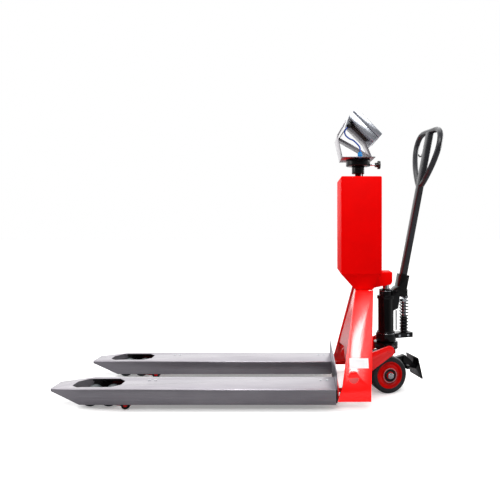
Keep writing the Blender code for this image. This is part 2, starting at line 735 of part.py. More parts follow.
def sheet_outline(line, sheet):
    """The outline of a bent sheet whose outer side follows the line, its thickness on the right."""
    inner = []
    count = len(line)
    for i, point in enumerate(line):
        before = Vector(point) - Vector(line[i - 1]) if i else Vector(line[1]) - Vector(line[0])
        after = Vector(line[i + 1]) - Vector(point) if i < count - 1 else before
        n1 = Vector((before.y, -before.x)).normalized()
        n2 = Vector((after.y, -after.x)).normalized()
        mitre = (n1 + n2).normalized()
        inner.append(tuple(Vector(point) + mitre * (sheet / max(0.3, mitre.dot(n1)))))
    return list(line) + inner[::-1]


def cradle(axis, base):
    """Wedge-shaped stainless cradle on the bracket, and the dark pad that the indicator sits on."""
    back = face_point(0, -indicator_depth - 0.0105)
    along = (math.sin(indicator_tilt), -math.cos(indicator_tilt))
    low = (0.0560, base + bracket_sheet + gap + 0.0035)
    high = (-0.0900, base + 0.0905)
    top_near = (back[0] + along[0] * 0.050, back[1] + along[1] * 0.050)
    top_far = (back[0] - along[0] * 0.060, back[1] - along[1] * 0.060)
    outline = [low, top_near, top_far, high]
    wedge = new_piece("indicator_cradle", plate_mesh("indicator_cradle", outline, -cradle_half_width,
                                                     cradle_half_width), axis, steel)
    inner = plate_mesh("cradle_room", inset_outline(outline, 0.003), -cradle_half_width - 0.01,
                       cradle_half_width + 0.01)
    cut(wedge, new_piece("cradle_room", inner, axis))
    pad_frame = new_empty("face_axis", axis, (indicator_face[0], 0, indicator_face[1] - swivel_bottom),
                          (0, indicator_tilt, 0))
    pad = box_mesh("mounting_pad", (-0.055, -cradle_half_width, -indicator_depth - 0.0100),
                   (0.049, cradle_half_width, -indicator_depth - gap))
    new_piece("mounting_pad", pad, pad_frame, brown)


def inset_outline(outline, sheet):
    """A convex outline moved inwards by a sheet's thickness."""
    points = [Vector(p) for p in outline]
    area = sum(a.x * b.y - b.x * a.y for a, b in zip(points, points[1:] + points[:1]))
    turn = 1 if area > 0 else -1
    inner = []
    for i, point in enumerate(points):
        before = (point - points[i - 1]).normalized()
        after = (points[(i + 1) % len(points)] - point).normalized()
        n1 = Vector((-before.y, before.x)) * turn
        n2 = Vector((-after.y, after.x)) * turn
        mitre = (n1 + n2).normalized()
        inner.append(tuple(point + mitre * (sheet / mitre.dot(n1))))
    return inner


def face_point(along, out):
    """A point of the indicator in the swivel's x, z: along the face downwards, and out of it."""
    s, c = math.sin(indicator_tilt), math.cos(indicator_tilt)
    x = indicator_face[0] + along * c + out * s
    z = indicator_face[1] - swivel_bottom - along * s + out * c
    return (x, z)


def indicator(axis):
    """Stainless indicator: body behind, bezel in front with a window recess and four keys."""
    face = new_empty("indicator_axis", axis, (indicator_face[0], 0, indicator_face[1] - swivel_bottom),
                     (0, indicator_tilt, 0))
    half_l, half_w = indicator_length / 2, indicator_width / 2
    body = box_mesh("indicator_body", (-half_l + 0.003, -half_w + 0.004, -indicator_depth),
                    (half_l - 0.003, half_w - 0.004, -bezel_depth - gap))
    shell = new_piece("indicator_body", body, face, steel)
    bevel(shell, 0.003, 2)
    tap = bar_mesh("gland_tap", 0.0078, (gland_along, -gland_y, -indicator_depth - 0.01),
                   (gland_along, -gland_y, -indicator_depth + 0.006), 20)
    cut(shell, new_piece("gland_tap", tap, face))

    front = box_mesh("indicator_bezel", (-half_l, -half_w, -bezel_depth), (half_l, half_w, 0))
    bezel = new_piece("indicator_bezel", front, face, steel)
    bevel(bezel, 0.003, 2)
    glass_low, glass_high = (-0.058, -0.090, -0.004), (0.004, 0.090, 0)
    room = box_mesh("window_room", glass_low, (glass_high[0], glass_high[1], 0.01))
    cut(bezel, new_piece("window_room", room, face))
    for index in range(key_count):
        y = (index - (key_count - 1) / 2) * key_pitch
        well = bar_mesh("key_well", key_radius + 0.0006, (key_along, y, -0.008), (key_along, y, 0.01), 24)
        cut(bezel, new_piece("key_well", well, face))
        cap = bar_mesh("key", key_radius, (key_along, y, -0.0055), (key_along, y, 0.0015), 24)
        new_piece("key_%d" % (index + 1), cap, face, grey, smooth=30)


def cable(axis, base):
    """Cable from the gland behind the indicator to the gland on the bracket."""
    face = new_empty("gland_axis", axis, (indicator_face[0], 0, indicator_face[1] - swivel_bottom),
                     (0, indicator_tilt, 0))
    depth = indicator_depth
    profile = [(0, -depth + 0.0055), (0.0074, -depth + 0.0055), (0.0074, -depth - 0.0005),
               (0.0100, -depth - 0.0008), (0.0100, -depth - 0.014), (0.0070, -depth - 0.026), (0, -depth - 0.026)]
    turned("cable_gland_rear", profile, face, black, (gland_along, -gland_y, 0), steps=24)
    foot = base + bracket_sheet
    profile = [(0, foot + 0.022), (0.0072, foot + 0.022), (0.0105, foot + 0.016), (0.0105, foot + 0.0005),
               (0.0084, foot + 0.0003), (0.0084, base - 0.0002 + gap), (0, base - 0.0002 + gap)]
    turned("cable_gland_foot", profile, axis, blue, (0.001, -gland_y, 0), steps=24)
    x0, z0 = face_point(gland_along, -depth - 0.026 - gap)
    knots = [(x0, z0), (x0 - 0.0080, z0 - 0.0095), (x0 - 0.0120, z0 - 0.0220), (x0 - 0.0060, z0 - 0.0370),
             (x0 + 0.0100, z0 - 0.0500), (x0 + 0.0270, z0 - 0.0580), (-0.0050, foot + 0.0500),
             (0.0010, foot + 0.0370), (0.0010, foot + 0.022 + gap)]
    path = smooth_points([(x, -gland_y, z) for x, z in knots], 0.007)
    new_piece("indicator_cable", tube_mesh("indicator_cable", path, cable_radius, resolution=2), axis, cable_blue,
              smooth=60)


# ---------------------------------------------------------------- pump and steering
def thrust_plate():
    """Plate round the pump's neck that doesn't turn with it; slots take the rocker's pins."""
    low, high = lift_pin[1] - 0.014, lift_pin[1] + 0.014
    profile = [(0.0535, high), (0.0535, low), (0.0310, low), (0.0310, high)]
    plate = turned("thrust_plate", profile, truck, black, (steer_x, 0, 0), steps=40, closed=True)
    pin_x = lift_pin[0] - steer_x
    raised_x = rocker_shaft[0] + rocker_reach * math.cos(rocker_rest - rocker_swing) - steer_x
    slot_start = min(pin_x, raised_x)
    slot_end = rocker_shaft[0] + rocker_reach - steer_x
    room = lift_pin_radius + 0.0009
    outer = rocker_arm_inner - 0.0045
    for side in (-1, 1):
        ends = sorted((side * 0.040, side * outer))
        arm = box_mesh("plate_arm", (slot_start - room - 0.005, ends[0], low + 0.0002),
                       (slot_end + room + 0.005, ends[1], high - 0.0002))
        add(plate, new_piece("plate_arm_" + side_name(side), arm, truck, None, (steer_x, 0, 0)))
        slot = hull_outline([(slot_start, lift_pin[1], room), (slot_end, lift_pin[1], room)])
        ends = sorted((side * 0.085, side * (outer + 0.01)))
        cut(plate, new_piece("pin_slot_" + side_name(side), plate_mesh("slot", slot, *ends), truck, None,
                             (steer_x, 0, 0)))


def pump(axis):
    """Casting on the wheel axle: carrier, neck, flange and the side block under the plunger."""
    upper, lower = lift_pin[1] + 0.0143, lift_pin[1] - 0.0143
    profile = [(0, 0.2495), (0.043, 0.2495), (0.045, 0.2475), (0.045, upper + 0.0057), (0.040, upper),
               (0.0300, upper), (0.0300, lower), (0.0380, lower), (0.0380, lower - 0.0077), (0, lower - 0.0077)]
    base = turned("pump_base", profile, axis, black)
    half = wheel_gap / 2 - 0.002
    carrier = plate_mesh("carrier", hull_outline([(axle_trail, wheel_radius, 0.024), (0, 0.150, 0.024)]), -half, half)
    add(base, new_piece("axle_carrier", carrier, axis))
    neck = bar_mesh("neck", 0.0235, (0, 0, 0.140), (0, 0, lower - 0.004))
    add(base, new_piece("carrier_neck", neck, axis))
    block = box_mesh("block", (0.020, -0.0235, 0.2270), (0.1230, 0.0235, 0.2490))
    add(base, new_piece("side_block", block, axis))
    px, pz = pedal_pivot
    line = hull_outline([(0.015, 0.100, 0.010), (0.015, 0.118, 0.010), (px, pz, 0.0105)])
    add(base, new_piece("pedal_bracket", plate_mesh("pedal_bracket", line, -0.0125, 0.0125), axis))
    cut(base, new_piece("bracket_bore", bar_mesh("bore", 0.0046, (px, -0.02, pz), (px, 0.02, pz), 20), axis))
    guide = bar_mesh("guide", 0.0145, (plunger_x, 0, 0.240), (plunger_x, 0, guide_top), 24)
    add(base, new_piece("plunger_guide", guide, axis))
    well = bar_mesh("well", plunger_rod_radius + 0.0008, (plunger_x, 0, 0.2440), (plunger_x, 0, guide_top + 0.01), 24)
    cut(base, new_piece("plunger_well", well, axis))
    bore = bar_mesh("axle_bore", axle_radius + gap, (axle_trail, -0.05, wheel_radius), (axle_trail, 0.05, wheel_radius))
    cut(base, new_piece("axle_bore", bore, axis))

    bottom = cylinder_bottom
    profile = [(ram_radius + 0.001, cylinder_top), (0.029, cylinder_top), (0.030, cylinder_top - 0.001),
               (0.030, cap_bottom), (cylinder_radius, cap_bottom - 0.001), (cylinder_radius, bottom + 0.009),
               (0.040, bottom + 0.008), (0.040, bottom), (0, bottom), (0, bottom + 0.014),
               (ram_radius + 0.001, bottom + 0.014)]
    barrel = turned("pump_cylinder", profile, axis, black, steps=36, closed=True)
    flat = box_mesh("flat", (tiller_x - 0.0175, -0.05, 0.352), (0.08, 0.05, 0.50))
    cut(barrel, new_piece("cylinder_flat", flat, axis))

    fork = plate_mesh("tiller_fork", hull_outline([(0.022, 0.362, 0.009), (0.046, 0.425, 0.010), (0.026, 0.438, 0.009),
                                                   (0.040, 0.368, 0.008)]), 0.0245, 0.0305)
    ears = new_piece("tiller_fork", fork, axis, black)
    other = plate_mesh("ear", hull_outline([(0.022, 0.362, 0.009), (0.046, 0.425, 0.010), (0.026, 0.438, 0.009),
                                            (0.040, 0.368, 0.008)]), -0.0305, -0.0245)
    add(ears, new_piece("fork_ear", other, axis))
    clamp = bar_mesh("clamp", 0.0395, (0, 0, 0.405), (0, 0, 0.4190), 36)
    add(ears, new_piece("fork_clamp", clamp, axis))
    cut(ears, new_piece("clamp_bore", bar_mesh("bore", cylinder_radius + gap, (0, 0, 0.35), (0, 0, 0.46), 36), axis))
    room = box_mesh("room", (0.0205, -0.0242, 0.34), (0.08, 0.0242, 0.46))
    cut(ears, new_piece("tiller_room", room, axis))
    bolt = bar_mesh("bolt", 0.0075, (tiller_x, -0.0335, tiller_z), (tiller_x, 0.0335, tiller_z), 24)
    add(ears, new_piece("tiller_bolt", bolt, axis))
    head = bar_mesh("head", 0.0115, (tiller_x, -0.0365, tiller_z), (tiller_x, -0.0300, tiller_z), 6)
    add(ears, new_piece("tiller_bolt_head", head, axis))


def plunger(axis):
    rod_end = guide_top - 0.016
    cap_low = plunger_top - 0.011
    profile = [(0, plunger_top), (plunger_cap_radius - 0.002, plunger_top), (plunger_cap_radius, plunger_top - 0.002),
               (plunger_cap_radius, cap_low), (plunger_rod_radius, cap_low), (plunger_rod_radius, rod_end), (0, rod_end)]
    turned("pump_plunger", profile, axis, bright, (plunger_x, 0, 0), steps=24)
    low = 0.2490 + spring_wire + gap
    high = cap_low - spring_wire - gap
    steps = 12
    count = round(spring_turns * steps)
    points = []
    for k in range(count + 1):
        angle = 2 * math.pi * k / steps
        share = k / count
        points.append((spring_radius * math.cos(angle), spring_radius * math.sin(angle), low + (high - low) * share))
    coil = tube_mesh("pump_spring", points, spring_wire, resolution=1)
    new_piece("pump_spring", coil, axis, bright, (plunger_x, 0, 0), smooth=60)


def wheels(axis):
    """Axle with its nuts, and on each side a rim with a hub and a tyre."""
    half = wheel_gap / 2 + tyre_width
    centre = (axle_trail, 0, wheel_radius)
    axle = bar_mesh("wheel_axle", axle_radius, (0, -half - 0.009, 0), (0, half + 0.009, 0), 24)
    shaft = new_piece("wheel_axle", axle, axis, bright, centre)
    for side in (-1, 1):
        end = side_name(side)
        nut = bar_mesh("nut", 0.0145, (0, side * (half + 0.0035), 0), (0, side * (half + 0.0110), 0), 6)
        add(shaft, new_piece("axle_nut_" + end, nut, axis, None, centre))
        middle = side * (wheel_gap + tyre_width) / 2
        wheel_axis = new_empty("wheel_axis_" + end, axis, (axle_trail, middle, wheel_radius))
        w = tyre_width / 2
        bore = axle_radius + running
        profile = [(bore, w + 0.002), (hub_radius - 0.003, w + 0.002), (hub_radius, w - 0.001), (hub_radius, 0.010),
                   (rim_radius - 0.007, 0.010), (rim_radius - 0.004, w), (rim_radius, w),
                   (rim_radius, -w), (rim_radius - 0.004, -w), (rim_radius - 0.007, -0.010),
                   (hub_radius, -0.010), (hub_radius, 0.001 - w), (bore, 0.001 - w)]
        turned("wheel_rim_" + end, profile, wheel_axis, red, turn=(side * -math.pi / 2, 0, 0), steps=28, closed=True)
        inner = rim_radius + gap
        r = wheel_radius
        profile = [(inner, w), (r - 0.008, w), (r - 0.0025, w - 0.0025), (r, w - 0.008), (r, 0.008 - w),
                   (r - 0.0025, 0.0025 - w), (r - 0.008, -w), (inner, -w)]
        turned("tyre_" + end, profile, wheel_axis, rubber, turn=(side * -math.pi / 2, 0, 0), steps=40, closed=True)


def brake(axis):
    """Foot pedal that swings a shoe against both tyres."""
    px, pz = pedal_pivot
    pedal_axis = new_empty("pedal_axis", axis, (px, 0, pz))
    lean = math.atan2(0.022, 0.092)
    half = 0.056
    tilt = Matrix.Rotation(-lean, 4, "Y")
    tread = box_mesh("brake_pedal", (-0.0025, -half, -0.0480), (0.0030, half, 0.0480))
    tread.transform(Matrix.Translation((0.0540, 0, -0.0435)) @ tilt)
    pedal = new_piece("brake_pedal", tread, pedal_axis, black)
    for side in (-1, 1):
        ends = sorted((side * 0.0135, side * 0.0185))
        ear = plate_mesh("ear", hull_outline([(0, 0, 0.0090), (-0.0085, -0.030, 0.0060), (0.0530, -0.0480, 0.0060)]), *ends)
        add(pedal, new_piece("pedal_ear_" + side_name(side), ear, pedal_axis))
        ends = sorted((side * 0.0142, side * 0.0700))
        shoe = box_mesh("shoe", (-0.0180, ends[0], -0.0370), (-0.0060, ends[1], -0.0210))
        add(pedal, new_piece("brake_shoe_" + side_name(side), shoe, pedal_axis))
    add(pedal, new_piece("pedal_pin", bar_mesh("pin", 0.0040, (0, -0.017, 0), (0, 0.017, 0), 20), pedal_axis))


# ---------------------------------------------------------------- tiller
def tiller(axis):
    pivot = new_empty("tiller_axis", axis, (tiller_x, 0, tiller_z), (0, tiller_lean, 0))
    half = 0.0230
    cam = (cam_reach * math.cos(cam_angle), cam_reach * math.sin(cam_angle))
    outline = hull_outline([(0, 0, 0.0140), (0.010, 0.020, 0.010), (shaft_offset + 0.018, 0.020, 0.007),
                            (cam[0] - 0.004, cam[1] + 0.006, 0.0085)])
    socket = new_piece("tiller_socket", plate_mesh("tiller_socket", outline, -half, half), pivot, black)
    sleeve = box_mesh("sleeve", (shaft_offset - 0.0205, -half + 0.0005, 0.010),
                      (shaft_offset + 0.0205, half - 0.0005, 0.088))
    add(socket, new_piece("socket_sleeve", sleeve, pivot))
    for side in (-1, 1):
        ends = sorted((side * 0.0100, side * (half - 0.001)))
        cheek = plate_mesh("cheek", hull_outline([(cam[0] - 0.010, cam[1] + 0.012, 0.009), (*cam, 0.0088)]), *ends)
        add(socket, new_piece("cam_cheek_" + side_name(side), cheek, pivot))
    room = box_mesh("room", (shaft_offset - shaft_width / 2 - gap, -shaft_depth / 2 - gap, 0.020),
                    (shaft_offset + shaft_width / 2 + gap, shaft_depth / 2 + gap, 0.10))
    cut(socket, new_piece("shaft_room", room, pivot))
    cut(socket, new_piece("socket_bore", bar_mesh("bore", 0.0075 + running, (0, -0.05, 0), (0, 0.05, 0), 24), pivot))
    clear = bar_mesh("clear", cam_radius + 0.002, (cam[0], -0.0092, cam[1]), (cam[0], 0.0092, cam[1]), 24)
    cut(socket, new_piece("cam_room", clear, pivot))
    tap = bar_mesh("tap", 0.0040 + gap, (cam[0], -0.03, cam[1]), (cam[0], 0.03, cam[1]), 16)
    cut(socket, new_piece("cam_bore", tap, pivot))
    roller = bar_mesh("cam_roller", cam_radius, (cam[0], -0.0085, cam[1]), (cam[0], 0.0085, cam[1]), 24)
    wheel = new_piece("cam_roller", roller, pivot, bright, smooth=30)
    axle = bar_mesh("axle", 0.0040, (cam[0], -0.0220, cam[1]), (cam[0], 0.0220, cam[1]), 16)
    add(wheel, new_piece("cam_axle", axle, pivot))

    shaft = box_mesh("tiller_handle", (-shaft_width / 2, -shaft_depth / 2, 0.0205),
                     (shaft_width / 2, shaft_depth / 2, loop_top - 0.002))
    handle = new_piece("tiller_handle", shaft, pivot, dark_grey, (shaft_offset, 0, 0))
    bevel(handle, 0.004, 2)
    side_knots = [(0.014, 0.505), (0.047, 0.545), (0.082, 0.603), (0.103, 0.660), (0.106, 0.706), (0.093, 0.742),
                  (0.062, 0.759)]
    knots = ([(0, 0, 0.498)] + [(0, y, z) for y, z in side_knots] + [(0, 0, loop_top)]
             + [(0, -y, z) for y, z in reversed(side_knots)])
    loop = tube_mesh("loop", smooth_points(knots, 0.016, cyclic=True), loop_radius, cyclic=True, resolution=3)
    add(handle, new_piece("handle_loop", loop, pivot, None, (shaft_offset, 0, 0)))

    lever_axis = new_empty("lever_axis", pivot, (shaft_offset, shaft_depth / 2 + 0.0065, 0.652))
    knots = [(0, 0, 0), (0, 0.016, -0.004), (0, 0.034, -0.003), (0, 0.050, 0.007)]
    lever = new_piece("finger_lever", tube_mesh("finger_lever", smooth_points(knots, 0.006), 0.0038, resolution=2),
                      lever_axis, black)
    eye = bar_mesh("eye", 0.0060, (-0.008, 0, 0), (0.008, 0, 0), 20)
    add(lever, new_piece("lever_eye", eye, lever_axis))

    rod = bar_mesh("release_rod", 0.0032, (0, 0, -0.045), (0, 0, 0.045), 14)
    new_piece("release_rod", rod, axis, bright, (0.0510, 0, 0.3040), smooth=30)


# ---------------------------------------------------------------- build
for old in list(bpy.data.objects):
    bpy.data.objects.remove(old)
parts = new_collection("pallet_jack")
tools = new_collection("cutters")

steel = new_material("brushed stainless", (0.55, 0.54, 0.55), 0.35, 1.0)
red = new_material("red enamel", (0.85, 0.01, 0.01), 0.25)
black = new_material("black enamel", (0.015, 0.015, 0.018), 0.35)
dark_grey = new_material("dark grey enamel", (0.05, 0.05, 0.06), 0.3)
grey = new_material("grey plastic", (0.3, 0.3, 0.31), 0.5)
bright = new_material("zinc plated steel", (0.6, 0.6, 0.6), 0.3, 1.0)
aluminium = new_material("aluminium", (0.7, 0.7, 0.72), 0.4, 1.0)
rubber = new_material("black rubber", (0.02, 0.02, 0.02), 0.8)
teal = new_material("dark polyurethane", (0.02, 0.06, 0.08), 0.5)
brown = new_material("dark rubber pad", (0.05, 0.03, 0.03), 0.7)
blue = new_material("blue nylon", (0.0, 0.35, 0.8), 0.4)
cable_blue = new_material("blue cable", (0.01, 0.08, 0.4), 0.5)

truck = new_empty("truck")
for fork_side in (-1, 1):
    fork_cover(fork_side)
    fork_beam(fork_side)
    roller_set(fork_side)
    frame_side(fork_side)
    for cell_index in (0, 1):
        load_cell(fork_side, cell_index)
back_plate()
frame_front()
crossbeam()
column_funnel()
column()
rocker()
ram = bar_mesh("lift_ram", ram_radius, (steer_x, 0, 0.280), (steer_x, 0, ram_top()))
new_piece("lift_ram", ram, truck, bright, smooth=30)
mast()
swivel()
thrust_plate()
steering = new_empty("steering_axis", truck, (steer_x, 0, 0), (0, 0, steer_rest))
pump(steering)
plunger(steering)
wheels(steering)
brake(steering)
tiller(steering)

# the origin goes under the middle of the whole length
bpy.context.view_layer.update()
view = bpy.context.evaluated_depsgraph_get()
reach = [(piece.matrix_world @ vert.co).x for piece in parts.objects if piece.type == "MESH"
         for vert in piece.evaluated_get(view).data.vertices]
truck.location.x = -(min(reach) + max(reach)) / 2
bpy.context.view_layer.update()
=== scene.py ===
# Hand pallet truck with a weighing scale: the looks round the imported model.
import json
import math

import bmesh
import bpy
from mathutils import Matrix, Vector
from mathutils.bvhtree import BVHTree


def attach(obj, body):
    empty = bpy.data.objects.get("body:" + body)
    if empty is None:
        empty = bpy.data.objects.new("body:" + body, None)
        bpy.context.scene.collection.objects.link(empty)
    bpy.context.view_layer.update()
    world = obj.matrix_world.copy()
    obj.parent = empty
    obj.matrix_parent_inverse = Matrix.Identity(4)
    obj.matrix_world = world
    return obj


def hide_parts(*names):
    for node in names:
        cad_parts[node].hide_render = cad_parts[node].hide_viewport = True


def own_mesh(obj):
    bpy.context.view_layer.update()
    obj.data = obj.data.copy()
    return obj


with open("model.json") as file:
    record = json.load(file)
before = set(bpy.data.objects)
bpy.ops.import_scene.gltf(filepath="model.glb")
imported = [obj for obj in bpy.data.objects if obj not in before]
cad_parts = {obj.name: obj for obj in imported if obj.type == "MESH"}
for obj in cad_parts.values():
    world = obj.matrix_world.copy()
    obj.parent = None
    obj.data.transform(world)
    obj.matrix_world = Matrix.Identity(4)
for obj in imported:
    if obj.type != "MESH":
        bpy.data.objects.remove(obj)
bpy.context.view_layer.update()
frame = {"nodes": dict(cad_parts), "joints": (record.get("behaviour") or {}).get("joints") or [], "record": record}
nodes = frame["nodes"]
groups = frame["record"]["behaviour"]["bodies"]
bodyOf = {node: body for body, members in groups.items() for node in members}
joints = {joint["name"]: joint for joint in frame["joints"]}
print("frame loaded:", len(nodes), "nodes")


# small tools
def toLinear(hexColour):
    parts = [int(hexColour[k:k + 2], 16) / 255 for k in (1, 3, 5)]
    return tuple(p / 12.92 if p <= 0.04045 else ((p + 0.055) / 1.055) ** 2.4 for p in parts) + (1.0,)


def addNode(tree, kind, feeds=None, **settings):
    node = tree.nodes.new(kind)
    for name, value in settings.items():
        setattr(node, name, value)
    for name, value in (feeds or {}).items():
        if isinstance(value, bpy.types.NodeSocket):
            tree.links.new(value, node.inputs[name])
        else:
            node.inputs[name].default_value = value
    return node


def millimetres(*sizes):
    # texture scale that gives features of these sizes along X, Y and Z
    return tuple(1000 / size for size in sizes)


def addPiece(name, mesh, material, body, stands=(), smooth=35):
    # mesh is in the row frame already, so the object stays at the origin
    piece = bpy.data.objects.new(name, mesh)
    bpy.context.scene.collection.objects.link(piece)
    if material:
        mesh.materials.clear()
        mesh.materials.append(material)
    if smooth:
        mesh.shade_smooth()
        mesh.set_sharp_from_angle(angle=math.radians(smooth))
    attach(piece, body)
    if stands:
        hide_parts(*stands)
    return piece


def meshFrom(bm, name, place=None):
    if place is not None:
        bmesh.ops.transform(bm, matrix=place, verts=bm.verts)
    bmesh.ops.recalc_face_normals(bm, faces=bm.faces)
    mesh = bpy.data.meshes.new(name)
    bm.to_mesh(mesh)
    bm.free()
    return mesh


def joinMeshes(name, meshes):
    bm = bmesh.new()
    for mesh in meshes:
        bm.from_mesh(mesh)
        bpy.data.meshes.remove(mesh)
    mesh = bpy.data.meshes.new(name)
    bm.to_mesh(mesh)
    bm.free()
    return mesh


def turnedMesh(name, profile, place, steps=64):
    # profile: closed ring of (radius, height) round Z
    bm = bmesh.new()
    rings = []
    for k in range(steps):
        c, s = math.cos(2 * math.pi * k / steps), math.sin(2 * math.pi * k / steps)
        rings.append([bm.verts.new((r * c, r * s, h)) for r, h in profile])
    for k in range(steps):
        a, b = rings[k], rings[(k + 1) % steps]
        for i in range(len(profile)):
            j = (i + 1) % len(profile)
            bm.faces.new((a[i], b[i], b[j], a[j]))
    bmesh.ops.remove_doubles(bm, verts=bm.verts, dist=1e-6)
    return meshFrom(bm, name, place)


def smoothPath(knots, count, closed=False):
    # Catmull-Rom curve through the knots, at count even steps of its parameter
    points = [Vector(k) for k in knots]
    spans = len(points) if closed else len(points) - 1
    path = []
    for k in range(count if closed else count + 1):
        t = spans * k / count
        i = min(int(t), spans - 1)
        t -= i
        pick = [(i + d) % len(points) if closed else min(max(i + d, 0), len(points) - 1)
                for d in (-1, 0, 1, 2)]
        a, b, c, d = (points[p] for p in pick)
        path.append(0.5 * (2 * b + (c - a) * t + (2 * a - 5 * b + 4 * c - d) * t * t
                           + (3 * b - a - 3 * c + d) * t * t * t))
    return path


def tubeMesh(name, path, radius, sides=16, closed=False, place=None):
    # radius is a number or one value for each point
    bm = bmesh.new()
    count = len(path)
    size = radius if hasattr(radius, "__len__") else [radius] * count
    rings, side = [], None
    for k, point in enumerate(path):
        after = path[(k + 1) % count] if closed or k < count - 1 else point
        before = path[k - 1] if closed or k else point
        along = (after - before).normalized()
        if side is None:
            side = along.orthogonal().normalized()
        side = (side - along * side.dot(along)).normalized()
        other = along.cross(side)
        rings.append([bm.verts.new(point + size[k] * (side * math.cos(a) + other * math.sin(a)))
                      for a in (2 * math.pi * n / sides for n in range(sides))])
    for k in range(count if closed else count - 1):
        a, b = rings[k], rings[(k + 1) % count]
        shift = 0
        if closed and k == count - 1:
            shift = min(range(sides), key=lambda n: (a[0].co - b[n].co).length)
        for n in range(sides):
            bm.faces.new((a[n], a[(n + 1) % sides], b[(n + 1 + shift) % sides], b[(n + shift) % sides]))
    if not closed:
        bm.faces.new(list(reversed(rings[0])))
        bm.faces.new(rings[-1])
    return meshFrom(bm, name, place)


def boxMesh(name, low, high, edge=0.0, place=None, segments=2):
    bm = bmesh.new()
    bmesh.ops.create_cube(bm, size=1)
    low, high = Vector(low), Vector(high)
    for v in bm.verts:
        v.co = (low + high) / 2 + Vector(a * b for a, b in zip(v.co, high - low))
    if edge:
        bmesh.ops.bevel(bm, geom=bm.edges[:], offset=edge, segments=segments, profile=0.5, affect="EDGES")
    return meshFrom(bm, name, place)


def refined(node, edge, material, segments=2, smooth=35, angle=35):
    # the CAD node's own shape with its edges rounded as a maker would break them
    bm = bmesh.new()
    bm.from_mesh(nodes[node].data)
    bmesh.ops.remove_doubles(bm, verts=bm.verts, dist=2e-6)
    bmesh.ops.dissolve_limit(bm, angle_limit=math.radians(0.8), verts=bm.verts, edges=bm.edges)
    mesh = bpy.data.meshes.new(node + "_refined")
    bm.to_mesh(mesh)
    bm.free()
    piece = bpy.data.objects.new(node + "_skin", mesh)
    bpy.context.scene.collection.objects.link(piece)
    if edge:
        cut = piece.modifiers.new("edges", "BEVEL")
        cut.width = edge
        cut.segments = segments
        cut.limit_method = "ANGLE"
        cut.angle_limit = math.radians(angle)
        cut.miter_outer = "MITER_ARC"
        cut.use_clamp_overlap = True
    baked = bpy.data.meshes.new_from_object(piece.evaluated_get(bpy.context.evaluated_depsgraph_get()))
    bpy.data.objects.remove(piece)
    return addPiece(node + "_skin", baked, material, bodyOf[node], (node,), smooth)


# studio: pale floor, soft light, and the camera square to the truck's side
studio = {
    "eye": (0.2135, -2.25, 0.741),      # from the origin under the truck, metres
    "lens": 35.86,                      # on a 36 mm wide sensor
    "shift": (-0.1136, -0.0522),
    "floorSize": 40.0,
    "floorWhite": "#f4f4f4",            # as the camera sees it
    "floorFlag": "#8c8c8e",             # as the truck is lit by it
    "floorGlow": 0.30,                  # lifts the floor to the pale backdrop
    "skyFront": 0.10,                   # sky behind the camera
    "skyBack": 1.70,                    # and behind the truck
}
plateLit = bpy.data.collections.new("lit by the plate key")


